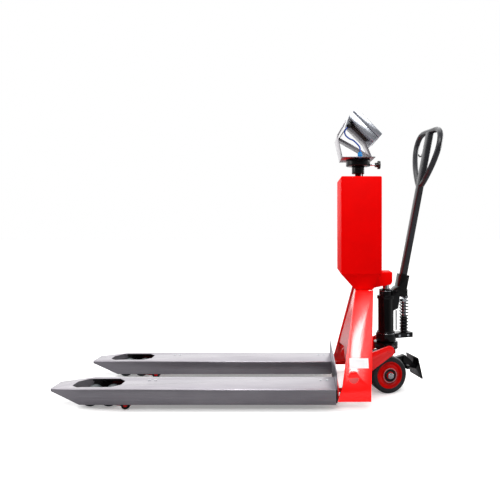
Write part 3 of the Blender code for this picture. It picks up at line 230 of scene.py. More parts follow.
def makeStudio(look):
    scene = bpy.context.scene
    scene.view_settings.view_transform = "Standard"
    lens = bpy.data.cameras.new("camera")
    lens.lens, lens.sensor_width = look["lens"], 36
    lens.shift_x, lens.shift_y = look["shift"]
    lens.clip_end = 100
    camera = bpy.data.objects.new("camera", lens)
    camera.location = look["eye"]
    camera.rotation_euler = (math.radians(90), 0, 0)
    scene.collection.objects.link(camera)
    scene.camera = camera

    sky = bpy.data.worlds.new("studio")
    sky.use_nodes = True
    tree = sky.node_tree
    tree.nodes.clear()
    way = addNode(tree, "ShaderNodeTexCoord").outputs["Generated"]
    apart = addNode(tree, "ShaderNodeSeparateXYZ", {"Vector": way})
    # brighter towards the backdrop than behind the camera
    back = addNode(tree, "ShaderNodeMapRange", {"Value": apart.outputs["Y"],
                                                "From Min": -0.9, "From Max": 0.9,
                                                "To Min": look["skyFront"], "To Max": look["skyBack"]})
    light = addNode(tree, "ShaderNodeBackground", {"Color": (1, 1, 1, 1), "Strength": back.outputs["Result"]})
    plain = addNode(tree, "ShaderNodeBackground", {"Color": (1, 1, 1, 1), "Strength": 1.0})
    seen = addNode(tree, "ShaderNodeLightPath").outputs["Is Camera Ray"]
    both = addNode(tree, "ShaderNodeMixShader", {0: seen, 1: light.outputs[0], 2: plain.outputs[0]})
    addNode(tree, "ShaderNodeOutputWorld", {"Surface": both.outputs[0]})
    scene.world = sky

    bm = bmesh.new()
    bmesh.ops.create_grid(bm, x_segments=1, y_segments=1, size=look["floorSize"] / 2)
    mesh = meshFrom(bm, "floor", Matrix.Translation((0, 0, -0.0004)))
    floor = bpy.data.objects.new("floor", mesh)
    scene.collection.objects.link(floor)
    paper = bpy.data.materials.new("white backdrop paper")
    paper.use_nodes = True
    shader = paper.node_tree.nodes["Principled BSDF"]
    # the camera sees white paper, the truck gets the softer light of a flagged floor
    direct = addNode(paper.node_tree, "ShaderNodeLightPath").outputs["Is Camera Ray"]
    tone = addNode(paper.node_tree, "ShaderNodeMix", {0: direct, 6: toLinear(look["floorFlag"]),
                                                      7: toLinear(look["floorWhite"])}, data_type="RGBA")
    paper.node_tree.links.new(tone.outputs[2], shader.inputs["Base Color"])
    glow = addNode(paper.node_tree, "ShaderNodeMath", {0: direct, 1: look["floorGlow"]}, operation="MULTIPLY")
    paper.node_tree.links.new(glow.outputs[0], shader.inputs["Emission Strength"])
    shader.inputs["Roughness"].default_value = 0.9
    shader.inputs["Emission Color"].default_value = (1, 1, 1, 1)
    mesh.materials.append(paper)

    # name, place, aim, size x, size y, watts
    softboxes = (
        ("overhead", (0.2, 0.5, 3.2), (0.1, 0.0, 0.3), 3.0, 2.2, 56),
        ("plateKey", (0.66, -1.90, 2.10), (0.42, -0.18, 0.27), 1.30, 1.50, 118),
        ("frontSoft", (0.5, -3.4, 2.9), (0.3, 0.0, 0.5), 2.4, 1.4, 84),
        ("rightRim", (3.0, 0.9, 1.7), (0.6, 0.0, 0.6), 0.8, 1.8, 26),
        ("leftFill", (-3.0, -0.6, 1.8), (0.0, 0.0, 0.4), 1.4, 1.8, 20),
    )
    for name, place, aim, wide, tall, watts in softboxes:
        lamp = bpy.data.lights.new(name, "AREA")
        lamp.shape, lamp.size, lamp.size_y, lamp.energy = "RECTANGLE", wide, tall, watts
        box = bpy.data.objects.new(name, lamp)
        box.location = place
        box.rotation_euler = (Vector(aim) - Vector(place)).to_track_quat("-Z", "Y").to_euler()
        scene.collection.objects.link(box)
        if name == "plateKey":
            box.light_linking.receiver_collection = plateLit     # flagged off everything but the side plate


makeStudio(studio)
print("studio ready")


# finishes: colours are sRGB hex, pattern sizes are millimetres
enamels = {
    # sprayed alkyd enamel over sheet steel: wet gloss with a faint orange peel
    "red gloss enamel": {"colour": "#ff0200", "deep": "#f20100", "rough": 0.22, "coat": 0.8, "peel": 0.05,
                         "shine": 0.4},
    # the same enamel on the column, where it reads as one flat deep red
    "red column enamel": {"colour": "#ff0000", "deep": "#f80000", "rough": 0.55, "coat": 0.0, "peel": 0.04,
                          "shine": 0.04},
    # brushed on castings and linkages: thicker and more uneven
    "red casting enamel": {"colour": "#e80300", "deep": "#b00200", "rough": 0.36, "coat": 0.15,
                           "peel": 0.16, "shine": 0.2},
    # black chassis enamel on the pump and its forgings
    "black gloss enamel": {"colour": "#09090b", "deep": "#040405", "rough": 0.20, "coat": 0.12,
                           "peel": 0.10, "shine": 0.20},
    # powder coat of the tiller: soft sheen over a faint orange peel
    "charcoal powder coat": {"colour": "#24252b", "deep": "#15161a", "rough": 0.30, "coat": 0.20,
                             "peel": 0.10, "shine": 0.45},
}
enamelSizes = {"patch": 90, "peel": 2.2, "dust": 0.9}   # orange peel is near 1 mm; drawn twice that to show

brushed = {
    # 304 sheet with a long brushed grain from the mill
    "brushed stainless deck": {"colour": "#a8a4aa", "deep": "#949097", "rough": 0.33,
                               "grain": (160, 0.9, 0.9), "bump": 0.10},
    # finer satin grain on folded instrument sheet
    "satin stainless case": {"colour": "#c6c9d0", "deep": "#b2b6bf", "rough": 0.30, "grain": (1.2, 80, 1.2),
                             "bump": 0.02},
    "satin stainless bracket": {"colour": "#9d989c", "deep": "#88848a", "rough": 0.32,
                                "grain": (1.2, 80, 1.2), "bump": 0.03},
}

plated = {
    # bright zinc on bolts, nuts and pins: bluish, a little cloudy
    "bright zinc plate": {"colour": "#d5d8dc", "deep": "#aeb3b8", "rough": 0.22, "cloud": 9},
    # ground and hard-chromed rod
    "hard chrome": {"colour": "#e8eaee", "deep": "#d9dce2", "rough": 0.06, "cloud": 40},
    # oil-blackened spring wire
    "blackened spring steel": {"colour": "#3a3a3d", "deep": "#1d1d20", "rough": 0.30, "cloud": 5},
    # sawn and milled 2024 bar
    "milled aluminium": {"colour": "#c9cbcd", "deep": "#b1b4b6", "rough": 0.34, "cloud": 14},
}

moulded = {
    # compression moulded black rubber, semi-matt with a bloom
    "tyre rubber": {"colour": "#101113", "deep": "#1c1e22", "rough": 0.42, "spread": 0.14, "grain": 1.6,
                    "bump": 0.25},
    # cast polyurethane, dark petrol
    "cast polyurethane": {"colour": "#1c2a2e", "deep": "#142024", "rough": 0.38, "spread": 0.12,
                          "grain": 2.5, "bump": 0.15},
    # glass-filled nylon knobs and glands
    "black nylon": {"colour": "#0d0d0f", "deep": "#17171a", "rough": 0.30, "spread": 0.10, "grain": 1.2,
                    "bump": 0.12},
    "cyan nylon": {"colour": "#0aa0f0", "deep": "#0684d6", "rough": 0.30, "spread": 0.08, "grain": 1.2,
                   "bump": 0.08},
    "dark rubber pad": {"colour": "#54423f", "deep": "#43332f", "rough": 0.62, "spread": 0.10, "grain": 1.4,
                        "bump": 0.30},
    "grey silicone key": {"colour": "#85878b", "deep": "#74767a", "rough": 0.52, "spread": 0.08,
                          "grain": 0.9, "bump": 0.10},
    "battery case polypropylene": {"colour": "#17181a", "deep": "#202124", "rough": 0.5, "spread": 0.1,
                                   "grain": 1.6, "bump": 0.2},
    "white vinyl label": {"colour": "#f3f3f4", "deep": "#e9eaec", "rough": 0.42, "spread": 0.06,
                          "grain": 3.0, "bump": 0.04},
}

finish = {}


def startMaterial(name):
    mat = bpy.data.materials.new(name)
    mat.use_nodes = True
    tree = mat.node_tree
    finish[name] = mat
    return tree, tree.nodes["Principled BSDF"], addNode(tree, "ShaderNodeTexCoord").outputs["Object"]


def noiseOf(tree, place, sizes, detail=3.0):
    sized = addNode(tree, "ShaderNodeMapping", {"Vector": place, "Scale": millimetres(*sizes)})
    return addNode(tree, "ShaderNodeTexNoise", {"Vector": sized.outputs[0], "Scale": 1.0, "Detail": detail,
                                                "Roughness": 0.55}).outputs["Fac"]


def blendColours(tree, share, one, other, low=0.35, high=0.65):
    even = addNode(tree, "ShaderNodeMapRange", {"Value": share, "From Min": low, "From Max": high})
    return addNode(tree, "ShaderNodeMix", {0: even.outputs[0], 6: toLinear(one), 7: toLinear(other)},
                   data_type="RGBA").outputs[2]


def roughFrom(tree, share, middle, spread):
    return addNode(tree, "ShaderNodeMapRange", {"Value": share, "From Min": 0.3, "From Max": 0.7,
                                                "To Min": middle - spread,
                                                "To Max": middle + spread}).outputs[0]


def makeEnamel(name, look):
    tree, shader, place = startMaterial(name)
    patch = noiseOf(tree, place, [enamelSizes["patch"]] * 3)
    peel = noiseOf(tree, place, [enamelSizes["peel"]] * 3, 1.5)
    dust = noiseOf(tree, place, [enamelSizes["dust"]] * 3, 2.0)
    tree.links.new(blendColours(tree, patch, look["colour"], look["deep"]), shader.inputs["Base Color"])
    tree.links.new(roughFrom(tree, dust, look["rough"], 0.05), shader.inputs["Roughness"])
    bump = addNode(tree, "ShaderNodeBump", {"Height": peel, "Strength": look["peel"], "Distance": 0.0006})
    tree.links.new(bump.outputs[0], shader.inputs["Normal"])
    tree.links.new(bump.outputs[0], shader.inputs["Coat Normal"])
    shader.inputs["IOR"].default_value = 1.5
    shader.inputs["Coat Weight"].default_value = look["coat"]
    shader.inputs["Specular IOR Level"].default_value = look["shine"]
    shader.inputs["Coat Roughness"].default_value = 0.16


def makeBrushed(name, look):
    tree, shader, place = startMaterial(name)
    lines = noiseOf(tree, place, look["grain"], 4.0)
    patch = noiseOf(tree, place, (240, 110, 110))
    both = addNode(tree, "ShaderNodeMath", {0: lines, 1: patch}, operation="ADD")
    half = addNode(tree, "ShaderNodeMath", {0: both.outputs[0], 1: 0.5}, operation="MULTIPLY")
    tree.links.new(blendColours(tree, half.outputs[0], look["colour"], look["deep"], 0.38, 0.62),
                   shader.inputs["Base Color"])
    tree.links.new(roughFrom(tree, lines, look["rough"], 0.07), shader.inputs["Roughness"])
    bump = addNode(tree, "ShaderNodeBump", {"Height": lines, "Strength": look["bump"], "Distance": 0.0003})
    tree.links.new(bump.outputs[0], shader.inputs["Normal"])
    shader.inputs["Metallic"].default_value = 1.0


def makePlated(name, look):
    tree, shader, place = startMaterial(name)
    cloud = noiseOf(tree, place, [look["cloud"]] * 3)
    tree.links.new(blendColours(tree, cloud, look["colour"], look["deep"]), shader.inputs["Base Color"])
    tree.links.new(roughFrom(tree, cloud, look["rough"], look["rough"] * 0.4), shader.inputs["Roughness"])
    shader.inputs["Metallic"].default_value = 1.0


def makeMoulded(name, look):
    tree, shader, place = startMaterial(name)
    grain = noiseOf(tree, place, [look["grain"]] * 3)
    patch = noiseOf(tree, place, [35] * 3)
    tree.links.new(blendColours(tree, patch, look["colour"], look["deep"]), shader.inputs["Base Color"])
    tree.links.new(roughFrom(tree, grain, look["rough"], look["spread"]), shader.inputs["Roughness"])
    bump = addNode(tree, "ShaderNodeBump", {"Height": grain, "Strength": look["bump"], "Distance": 0.0003})
    tree.links.new(bump.outputs[0], shader.inputs["Normal"])
    shader.inputs["IOR"].default_value = 1.5


for looks, maker in ((enamels, makeEnamel), (brushed, makeBrushed), (plated, makePlated),
                     (moulded, makeMoulded)):
    for title, look in looks.items():
        maker(title, look)


def makeCableJacket(name, look):
    # extruded PVC over twisted cores: the lay shows as soft diagonal ridges along the cable's own map
    tree, shader, place = startMaterial(name)
    patch = noiseOf(tree, place, [look["patch"]] * 3)
    tree.links.new(blendColours(tree, patch, look["colour"], look["deep"]), shader.inputs["Base Color"])
    lay = addNode(tree, "ShaderNodeMapping", {"Vector": place, "Scale": millimetres(*[look["lay"]] * 3)})
    wave = addNode(tree, "ShaderNodeTexWave", {"Vector": lay.outputs[0], "Scale": 1.0, "Distortion": 0.6},
                   bands_direction="DIAGONAL")
    bump = addNode(tree, "ShaderNodeBump",
                   {"Height": wave.outputs["Fac"], "Strength": 0.15, "Distance": 0.0002})
    tree.links.new(bump.outputs[0], shader.inputs["Normal"])
    shader.inputs["Roughness"].default_value = 0.36


makeCableJacket("blue PVC jacket", {"colour": "#0f55c8", "deep": "#0a3f9e", "patch": 12, "lay": 5})


def makeDisplay(name, look):
    # smoked acrylic window over a dark liquid crystal panel
    tree, shader, place = startMaterial(name)
    smear = noiseOf(tree, place, [look["smear"]] * 3)
    tree.links.new(blendColours(tree, smear, look["colour"], look["deep"]), shader.inputs["Base Color"])
    tree.links.new(roughFrom(tree, smear, 0.08, 0.03), shader.inputs["Roughness"])
    shader.inputs["IOR"].default_value = 1.49
    shader.inputs["Coat Weight"].default_value = 1.0


makeDisplay("smoked acrylic window", {"colour": "#1b2320", "deep": "#131a18", "smear": 28})
print("finishes ready:", len(finish))


# skins: each CAD node's shape with its edges broken, and a finish; the fork beams and bogies get black enamel over
# their red paint as painted shade
# node prefix: (finish, edge radius in metres)
skins = {
    "fork_cover": ("brushed stainless deck", 0.0011),
    "back_plate": ("brushed stainless deck", 0.0008),
    # black on the fork beams is painted shade inside the fork covers, over their red paint
    "fork_beam": ("black gloss enamel", 0.0010),
    "load_cell": ("milled aluminium", 0.0006),
    "crossbeam": ("red gloss enamel", 0.0008),
    "frame_side": ("red gloss enamel", 0.0014),
    "frame_front": ("red gloss enamel", 0.0010),
    "column_funnel": ("red column enamel", 0.0022),
    "column_box": ("red column enamel", 0.0025),
    "rocker": ("red gloss enamel", 0.0012),
    "roller_link": ("red casting enamel", 0.0008),
    # black on the bogies is painted shade under the fork covers, over their red paint
    "bogie": ("black gloss enamel", 0.0006),
    "push_rod": ("red casting enamel", 0.0010),
    "battery_pack": ("battery case polypropylene", 0.003),
    "mast_stub": ("black gloss enamel", 0.0012),
    "swivel_foot": ("black gloss enamel", 0.0015),
    "bracket_foot": ("satin stainless bracket", 0.0008),
    "indicator_cradle": ("satin stainless bracket", 0.0008),
    "indicator_body": ("satin stainless case", 0.0),
    "indicator_bezel": ("satin stainless case", 0.0),
    "mounting_pad": ("dark rubber pad", 0.0006),
    "cable_gland_foot": ("cyan nylon", 0.0005),
    "cable_gland_rear": ("black nylon", 0.0005),
    "thrust_plate": ("black gloss enamel", 0.0015),
    "pump_base": ("black gloss enamel", 0.0012),
    "pump_cylinder": ("black gloss enamel", 0.0008),
    "pump_plunger": ("bright zinc plate", 0.0006),
    "lift_ram": ("hard chrome", 0.0004),
    "tiller_fork": ("black gloss enamel", 0.0010),
    "tiller_socket": ("black gloss enamel", 0.0014),
    "tiller_handle": ("charcoal powder coat", 0.0),
    "cam_roller": ("bright zinc plate", 0.0005),
    "finger_lever": ("black nylon", 0.0),
    "release_rod": ("blackened spring steel", 0.0),
    "brake_pedal": ("black gloss enamel", 0.0009),
    "key": ("grey silicone key", 0.0008),
    "wheel_axle": ("bright zinc plate", 0.0006),
}
rebuilt = ["tyre_near", "tyre_far", "wheel_rim_near", "wheel_rim_far", "pump_spring", "indicator_cable",
           "clamp_knob"]
rebuilt += ["roller_%s_%s" % (side, end) for side in ("near", "far") for end in ("front", "rear")]


def skinFor(node):
    fits = [prefix for prefix in skins if node == prefix or node.startswith(prefix + "_")]
    return skins[max(fits, key=len)]


for node in sorted(nodes):
    if node not in rebuilt:
        title, edge = skinFor(node)
        skin = refined(node, edge, finish[title])
        if node == "frame_side_near":
            plateLit.objects.link(skin)
print("skins made:", len(nodes) - len(rebuilt))


# wheels: places from the joints, so that they sit on the model's own axles
def placeOf(joint, up=None, at=None):
    # a frame at the joint with Z along its axis
    row = joints[joint]
    z = Vector(up or row["axis"]).normalized()
    x = Vector((0, 0, 1)).cross(z) if abs(z.z) < 0.9 else Vector((1, 0, 0))
    x.normalize()
    turn = Matrix((x, z.cross(x), z)).transposed().to_4x4()
    return Matrix.Translation(at or row["pos_m"]) @ turn


wheel = {
    "radius": 0.0805, "half": 0.0249, "tyreBore": 0.0589, "shoulder": 0.0085,
    "rim": 0.0584, "rimLip": 0.0542, "ringIn": 0.0505, "hub": 0.0329, "bore": 0.0107,
    "webFace": 0.0100, "hubFace": 0.0262, "bandTop": 0.0062, "bandLow": 0.00589, "bandEnd": 0.0006,
    "bandDepth": 0.0003,
}


def tyreMesh(name, look, place):
    r, h = look["radius"], look["half"]
    bore, s = look["tyreBore"], look["shoulder"]
    ring = [(bore, h - 0.0012), (bore + 0.0012, h), (r - s - 0.0030, h), (r - s - 0.0022, h - 0.0008),
            (r - s - 0.0014, h)]       # a fine mould groove round the sidewall
    for k in range(8):
        a = math.radians(90 * k / 7)
        ring.append((r - s + s * math.sin(a), h - s + s * math.cos(a)))
    sunk = r - look["bandDepth"]       # shallow bands either side of the mould's parting line
    ring += [(r, look["bandTop"]), (sunk, look["bandLow"]), (sunk, look["bandEnd"]), (r, 0.0)]
    ring += [(rad, -z) for rad, z in reversed(ring[:-1])]
    return turnedMesh(name, ring, place, 128)


def rimMesh(name, look, place):
    rim, lip, ringIn, hub = look["rim"], look["rimLip"], look["ringIn"], look["hub"]
    h, web, face, bore = look["half"], look["webFace"], look["hubFace"], look["bore"]
    front = [(bore, face - 0.0012), (bore + 0.0012, face), (hub - 0.0042, face),
             (hub - 0.0020, face - 0.0012), (hub, face - 0.0052), (hub, web + 0.0020),
             (hub + 0.0016, web + 0.0004), (ringIn - 0.0040, web),
             (ringIn - 0.0010, web + 0.0018), (lip, h - 0.0018), (lip + 0.0012, h - 0.0004),
             (rim - 0.0008, h - 0.0004), (rim, h - 0.0012)]
    back = [(rad, -z) for rad, z in reversed(front[5:])]
    back += [(hub, -h + 0.0022), (hub - 0.0012, 0.0012 - h), (bore + 0.0012, 0.0012 - h), (bore, 0.0022 - h)]
    return turnedMesh(name, front + back, place, 96)


for side, out in (("near", -1), ("far", 1)):
    spin = "wheel_%s_spin" % side
    axle = Vector(joints[spin]["axis"]) * (1 if joints[spin]["axis"][1] * out > 0 else -1)
    place = placeOf(spin, axle)
    addPiece("tyre_%s_looks" % side, tyreMesh("tyre", wheel, place), finish["tyre rubber"],
             bodyOf["tyre_" + side], ("tyre_" + side,), 40)
    addPiece("rim_%s_looks" % side, rimMesh("rim", wheel, place), finish["red casting enamel"],
             bodyOf["wheel_rim_" + side], ("wheel_rim_" + side,), 40)
    # pressed black cap over the hub bearing, with its snap ring
    cap = turnedMesh("cap", [(0.0165, 0.0200), (0.0165, 0.0266), (0.0180, 0.0274), (0.0262, 0.0274),
                             (0.0275, 0.0264), (0.0275, 0.0200)], place, 72)
    addPiece("hub_cap_%s" % side, cap, finish["black gloss enamel"], bodyOf["tyre_" + side], smooth=40)
    ringed = turnedMesh("ring", [(0.0294, 0.0240), (0.0294, 0.0268), (0.0312, 0.0268), (0.0312, 0.0240)],
                        place, 72)
    addPiece("snap_ring_%s" % side, ringed, finish["bright zinc plate"], bodyOf["tyre_" + side], smooth=30)
print("wheels done")


# load rollers: cast tyre with rounded edges on a plated hub
loadRoller = {"radius": 0.0369, "half": 0.0308, "edge": 0.0040, "bore": 0.0225, "pin": 0.0103}
for side in ("near", "far"):
    for end in ("front", "rear"):
        node = "roller_%s_%s" % (side, end)
        place = placeOf(node + "_spin")
        r, h, e, bore = (loadRoller[k] for k in ("radius", "half", "edge", "bore"))
        arc = [(r - e + e * math.sin(a), h - e + e * math.cos(a))
               for a in (math.radians(15 * k) for k in range(7))]
        ring = [(bore, h - 0.0008), (bore + 0.0008, h)] + arc + [(r, 0.0)]
        ring += [(rad, -z) for rad, z in reversed(ring[:-1])]
        addPiece(node + "_looks", turnedMesh(node, ring, place, 96), finish["cast polyurethane"],
                 bodyOf[node], (node,), 35)
        pin = loadRoller["pin"]
        hub = [(pin, h - 0.0014), (bore - 0.0010, h - 0.0014), (bore - 0.0004, h - 0.0030)]
        hub += [(rad, -z) for rad, z in reversed(hub)]
        addPiece(node + "_hub", turnedMesh("hub", hub, place, 64), finish["bright zinc plate"],
                 bodyOf[node], smooth=30)
print("rollers done")


# spring: a curve swept by nodes, so that its turns and wire can be changed as numbers
spring = {"at": (0.65699, 0.02481), "radius": 0.0190, "wire": 0.0025, "turns": 9.5, "low": 0.2526,
          "high": 0.3852}


def newGroup(name, sockets):
    group = bpy.data.node_groups.new(name, "GeometryNodeTree")
    for title, kind, value in sockets:
        made = group.interface.new_socket(title, in_out="INPUT", socket_type=kind)
        if value is not None:
            made.default_value = value
    group.interface.new_socket("Geometry", in_out="OUTPUT", socket_type="NodeSocketGeometry")
    return group, addNode(group, "NodeGroupInput"), addNode(group, "NodeGroupOutput")


def bakeNodes(name, group, values, base=None):
    # the group's mesh for these inputs, as real faces
    holder = bpy.data.objects.new(name, base or bpy.data.meshes.new(name))
    bpy.context.scene.collection.objects.link(holder)
    step = holder.modifiers.new("nodes", "NODES")
    step.node_group = group
    ids = {item.name: item.identifier for item in group.interface.items_tree if item.in_out == "INPUT"}
    for title, value in values.items():
        step[ids[title]] = value
    baked = bpy.data.meshes.new_from_object(holder.evaluated_get(bpy.context.evaluated_depsgraph_get()))
    bpy.data.objects.remove(holder)
    return baked


coil, given, out = newGroup("coil spring", (("Turns", "NodeSocketFloat", 9.5),
                                            ("Radius", "NodeSocketFloat", 0.019),
                                            ("Wire", "NodeSocketFloat", 0.0025),
                                            ("Height", "NodeSocketFloat", 0.13),
                                            ("Material", "NodeSocketMaterial", None)))
helix = addNode(coil, "GeometryNodeCurveSpiral", {"Resolution": 40, "Rotations": given.outputs["Turns"],
                                                  "Start Radius": given.outputs["Radius"],
                                                  "End Radius": given.outputs["Radius"],
                                                  "Height": given.outputs["Height"]})
wire = addNode(coil, "GeometryNodeCurvePrimitiveCircle", {"Resolution": 16, "Radius": given.outputs["Wire"]})
swept = addNode(coil, "GeometryNodeCurveToMesh", {"Curve": helix.outputs[0], "Profile Curve": wire.outputs[0],
                                                  "Fill Caps": True})
painted = addNode(coil, "GeometryNodeSetMaterial", {"Geometry": swept.outputs[0],
                                                    "Material": given.outputs["Material"]})
coil.links.new(painted.outputs[0], out.inputs[0])

mesh = bakeNodes("coil", coil, {"Turns": spring["turns"], "Radius": spring["radius"], "Wire": spring["wire"],
                                "Height": spring["high"] - spring["low"],
                                "Material": finish["blackened spring steel"]})
mesh.transform(Matrix.Translation((*spring["at"], spring["low"])))
spiral = addPiece("spring_looks", mesh, None, bodyOf["pump_spring"],
                  ("pump_spring",), 60)
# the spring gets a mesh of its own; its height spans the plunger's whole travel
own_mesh(spiral)
print("spring done")


# signal cable between its two glands; the indicator's face is tilted up towards the operator
indicator = {"face": (0.48148, 0, 1.1825), "tilt": 45}
cable = {"radius": 0.0032, "rearGland": (-0.050, -0.075, -0.0783), "footGland": (0.44598, -0.075, 1.0547)}
facePlace = Matrix.Translation(indicator["face"]) @ Matrix.Rotation(math.radians(indicator["tilt"]), 4, "Y")
start = facePlace @ Vector(cable["rearGland"])
foot = Vector(cable["footGland"])
knots = [start, start + Vector((-0.0080, 0, -0.0095)), start + Vector((-0.0120, 0, -0.0220)),
         start + Vector((-0.0060, 0, -0.0370)), start + Vector((0.0100, 0, -0.0500)),
         start + Vector((0.0270, 0, -0.0580)), foot + Vector((-0.0060, 0, 0.0280)),
         foot + Vector((0, 0, 0.0150)), foot]
mesh = tubeMesh("cable", smoothPath(knots, 96), cable["radius"], 20)
addPiece("cable_looks", mesh, finish["blue PVC jacket"], bodyOf["indicator_cable"],
         ("indicator_cable",), 60)
print("cable done")


# clamp knob: fluted head on a turned neck and a steel stud
knob = {"at": (0.49998, 0, 1.007), "lobes": 6, "radius": 0.0196, "flute": 0.13, "low": 0.0322, "high": 0.0452}


def flutedMesh(name, look, place, steps=144):
    bm = bmesh.new()
    low, high = look["low"], look["high"]
    levels = ((low, 0.80), (low, 0.94), (low + 0.0012, 0.99), (low + 0.0024, 1.0), (high - 0.0028, 1.0),
              (high - 0.0012, 0.98), (high - 0.0002, 0.92), (high, 0.80), (high - 0.0008, 0.42))
    rings = []
    for height, share in levels:
        ring = []
        for k in range(steps):
            a = 2 * math.pi * k / steps
            wave = (0.5 + 0.5 * math.cos(look["lobes"] * a)) ** 1.4
            r = look["radius"] * share * (1 - look["flute"] * wave)
            ring.append(bm.verts.new((r * math.cos(a), r * math.sin(a), height)))
        rings.append(ring)
    for a, b in zip(rings, rings[1:]):
        for k in range(steps):
            bm.faces.new((a[k], a[(k + 1) % steps], b[(k + 1) % steps], b[k]))
    bm.faces.new(rings[0])
    bm.faces.new(rings[-1])
    return meshFrom(bm, name, place)


place = Matrix.Translation(knob["at"]) @ Matrix.Rotation(math.radians(90), 4, "Y")
neck = turnedMesh("neck", [(0.0, 0.0200), (0.0092, 0.0200), (0.0100, 0.0208), (0.0104, 0.0300),
                           (0.0112, 0.0324), (0.0, 0.0324)], place, 48)
head = flutedMesh("head", knob, place)
addPiece("knob_looks", joinMeshes("knob", [neck, head]), finish["black nylon"], bodyOf["clamp_knob"],
         ("clamp_knob",), 30)
stud = turnedMesh("stud", [(0.0, -0.0080), (0.0032, -0.0080), (0.0038, -0.0072), (0.0038, 0.0240),
                           (0.0, 0.0240)], place, 32)
addPiece("knob_stud", stud, finish["bright zinc plate"], bodyOf["clamp_knob"], smooth=30)
print("knob done")


# screws: one tree sets a socket-head screw on every point of its base mesh
screws, given, out = newGroup("socket screws", (("Points", "NodeSocketGeometry", None),
                                                ("Radius", "NodeSocketFloat", 0.004),
                                                ("Height", "NodeSocketFloat", 0.002),
                                                ("Sides", "NodeSocketInt", 32),
                                                ("Socket", "NodeSocketFloat", 0.5),
                                                ("Material", "NodeSocketMaterial", None)))
head = addNode(screws, "GeometryNodeMeshCylinder", {"Vertices": given.outputs["Sides"],
                                                    "Radius": given.outputs["Radius"],
                                                    "Depth": given.outputs["Height"]})
inner = addNode(screws, "ShaderNodeMath", {0: given.outputs["Radius"], 1: given.outputs["Socket"]},
                operation="MULTIPLY")
hexagon = addNode(screws, "GeometryNodeMeshCylinder", {"Vertices": 6, "Radius": inner.outputs[0],
                                                       "Depth": given.outputs["Height"]})
above = addNode(screws, "ShaderNodeMath", {0: given.outputs["Height"], 1: 0.45}, operation="MULTIPLY")
lift = addNode(screws, "ShaderNodeCombineXYZ", {"Z": above.outputs[0]})
raised = addNode(screws, "GeometryNodeTransform",
                 {"Geometry": hexagon.outputs[0], "Translation": lift.outputs[0]})
drilled = addNode(screws, "GeometryNodeMeshBoolean", {"Mesh 1": head.outputs[0], "Mesh 2": raised.outputs[0]},
                  operation="DIFFERENCE")
half = addNode(screws, "ShaderNodeMath", {0: given.outputs["Height"], 1: 0.5}, operation="MULTIPLY")
up = addNode(screws, "ShaderNodeCombineXYZ", {"Z": half.outputs[0]})
seated = addNode(screws, "GeometryNodeTransform",
                 {"Geometry": drilled.outputs[0], "Translation": up.outputs[0]})
placed = addNode(screws, "GeometryNodeInstanceOnPoints", {"Points": given.outputs["Points"],
                                                          "Instance": seated.outputs[0]})
real = addNode(screws, "GeometryNodeRealizeInstances", {0: placed.outputs[0]})
painted = addNode(screws, "GeometryNodeSetMaterial",
                  {"Geometry": real.outputs[0], "Material": given.outputs["Material"]})
screws.links.new(painted.outputs[0], out.inputs[0])


def screwSet(name, points, radius, height, body, place=None, look="bright zinc plate", socket=0.5, sides=32):
    base = bpy.data.meshes.new(name + "_points")
    base.from_pydata([Vector(p) for p in points], [], [])
    values = {"Radius": radius, "Height": height, "Sides": sides, "Socket": socket, "Material": finish[look]}
    mesh = bakeNodes(name, screws, values, base)
    if place is not None:
        mesh.transform(place)
    addPiece(name, mesh, None, body, smooth=30)


frameBody, swivelBody, steerBody = bodyOf["frame_front"], bodyOf["swivel_foot"], bodyOf["pump_base"]
deckTop, cellX, cellY = 0.088, (-0.4315, 0.2845), (-0.1685, 0.2345)
deckScrews = [(x + dx, y, deckTop + 0.0001) for x in cellX for dx in (-0.013, 0.013) for y in cellY]
screwSet("deck_screws", deckScrews, 0.0058, 0.0009, frameBody)
footTop = 1.0005 + 0.0285 + 0.0003 + 0.003      # swivel's underside, its height, the fit and the sheet
footScrews = [(x, y, footTop) for x in (0.4120, 0.4780) for y in (-0.036, 0.036)]
screwSet("bracket_screws", footScrews, 0.0042, 0.0032, swivelBody, look="blackened spring steel")
bezelCorners = [(a, b, 0.0001) for a in (-0.0715, 0.0715) for b in (-0.1145, 0.1145)]
screwSet("bezel_screws", bezelCorners, 0.0030, 0.0012, swivelBody, facePlace)
columnTop = 0.9441
lidScrews = [(x, y, columnTop) for x in (0.4000, 0.4900) for y in (-0.045, 0.045)]
screwSet("column_screws", lidScrews, 0.0045, 0.0026, frameBody)

# bolt heads on the pump's side block, square to the steered axle
block = {"steerX": 0.57048, "steerAngle": 16, "half": 0.0236, "boltX": (0.056, 0.098), "boltZ": 0.2380}
steerTurn = Matrix.Rotation(math.radians(block["steerAngle"]), 4, "Z")
steerPlace = Matrix.Translation((block["steerX"], 0, 0)) @ steerTurn
for name, out in (("block_bolts", -1), ("block_bolts_far", 1)):
    side = Matrix.Translation((0, out * block["half"], 0)) @ Matrix.Rotation(math.radians(-90 * out), 4, "X")
    bolts = [(x, -out * block["boltZ"], 0) for x in block["boltX"]]
    screwSet(name, bolts, 0.0052, 0.0030, steerBody, steerPlace @ side)
print("screws done")


# machined rings of the pump cylinder: the cap's seam, the wiper and the base joint
for name, r, low, high, look in (("cap_seam", 0.0304, 0.4395, 0.4412, "bright zinc plate"),
                                 ("wiper_ring", 0.0190, 0.4476, 0.4500, "black nylon"),
                                 ("base_joint", 0.0404, 0.2500, 0.2510, "bright zinc plate")):
    inside = 0.0152 if r < 0.02 else r - 0.0020
    ring = turnedMesh(name, [(inside, low), (inside, high), (r - 0.0002, high), (r, high - 0.0003),
                             (r, low + 0.0003), (r - 0.0002, low)], steerPlace, 96)
    addPiece(name, ring, finish[look], steerBody, smooth=40)
print("pump rings done")


# the indicator's window
pane = boxMesh("window", (-0.0575, -0.0895, -0.0038), (0.0035, 0.0895, -0.0005), 0.0008, facePlace)
addPiece("display_window", pane, finish["smoked acrylic window"], swivelBody, smooth=30)


def raysOn(node):
    mesh = nodes[node].data
    return BVHTree.FromPolygons([v.co for v in mesh.vertices], [p.vertices for p in mesh.polygons])


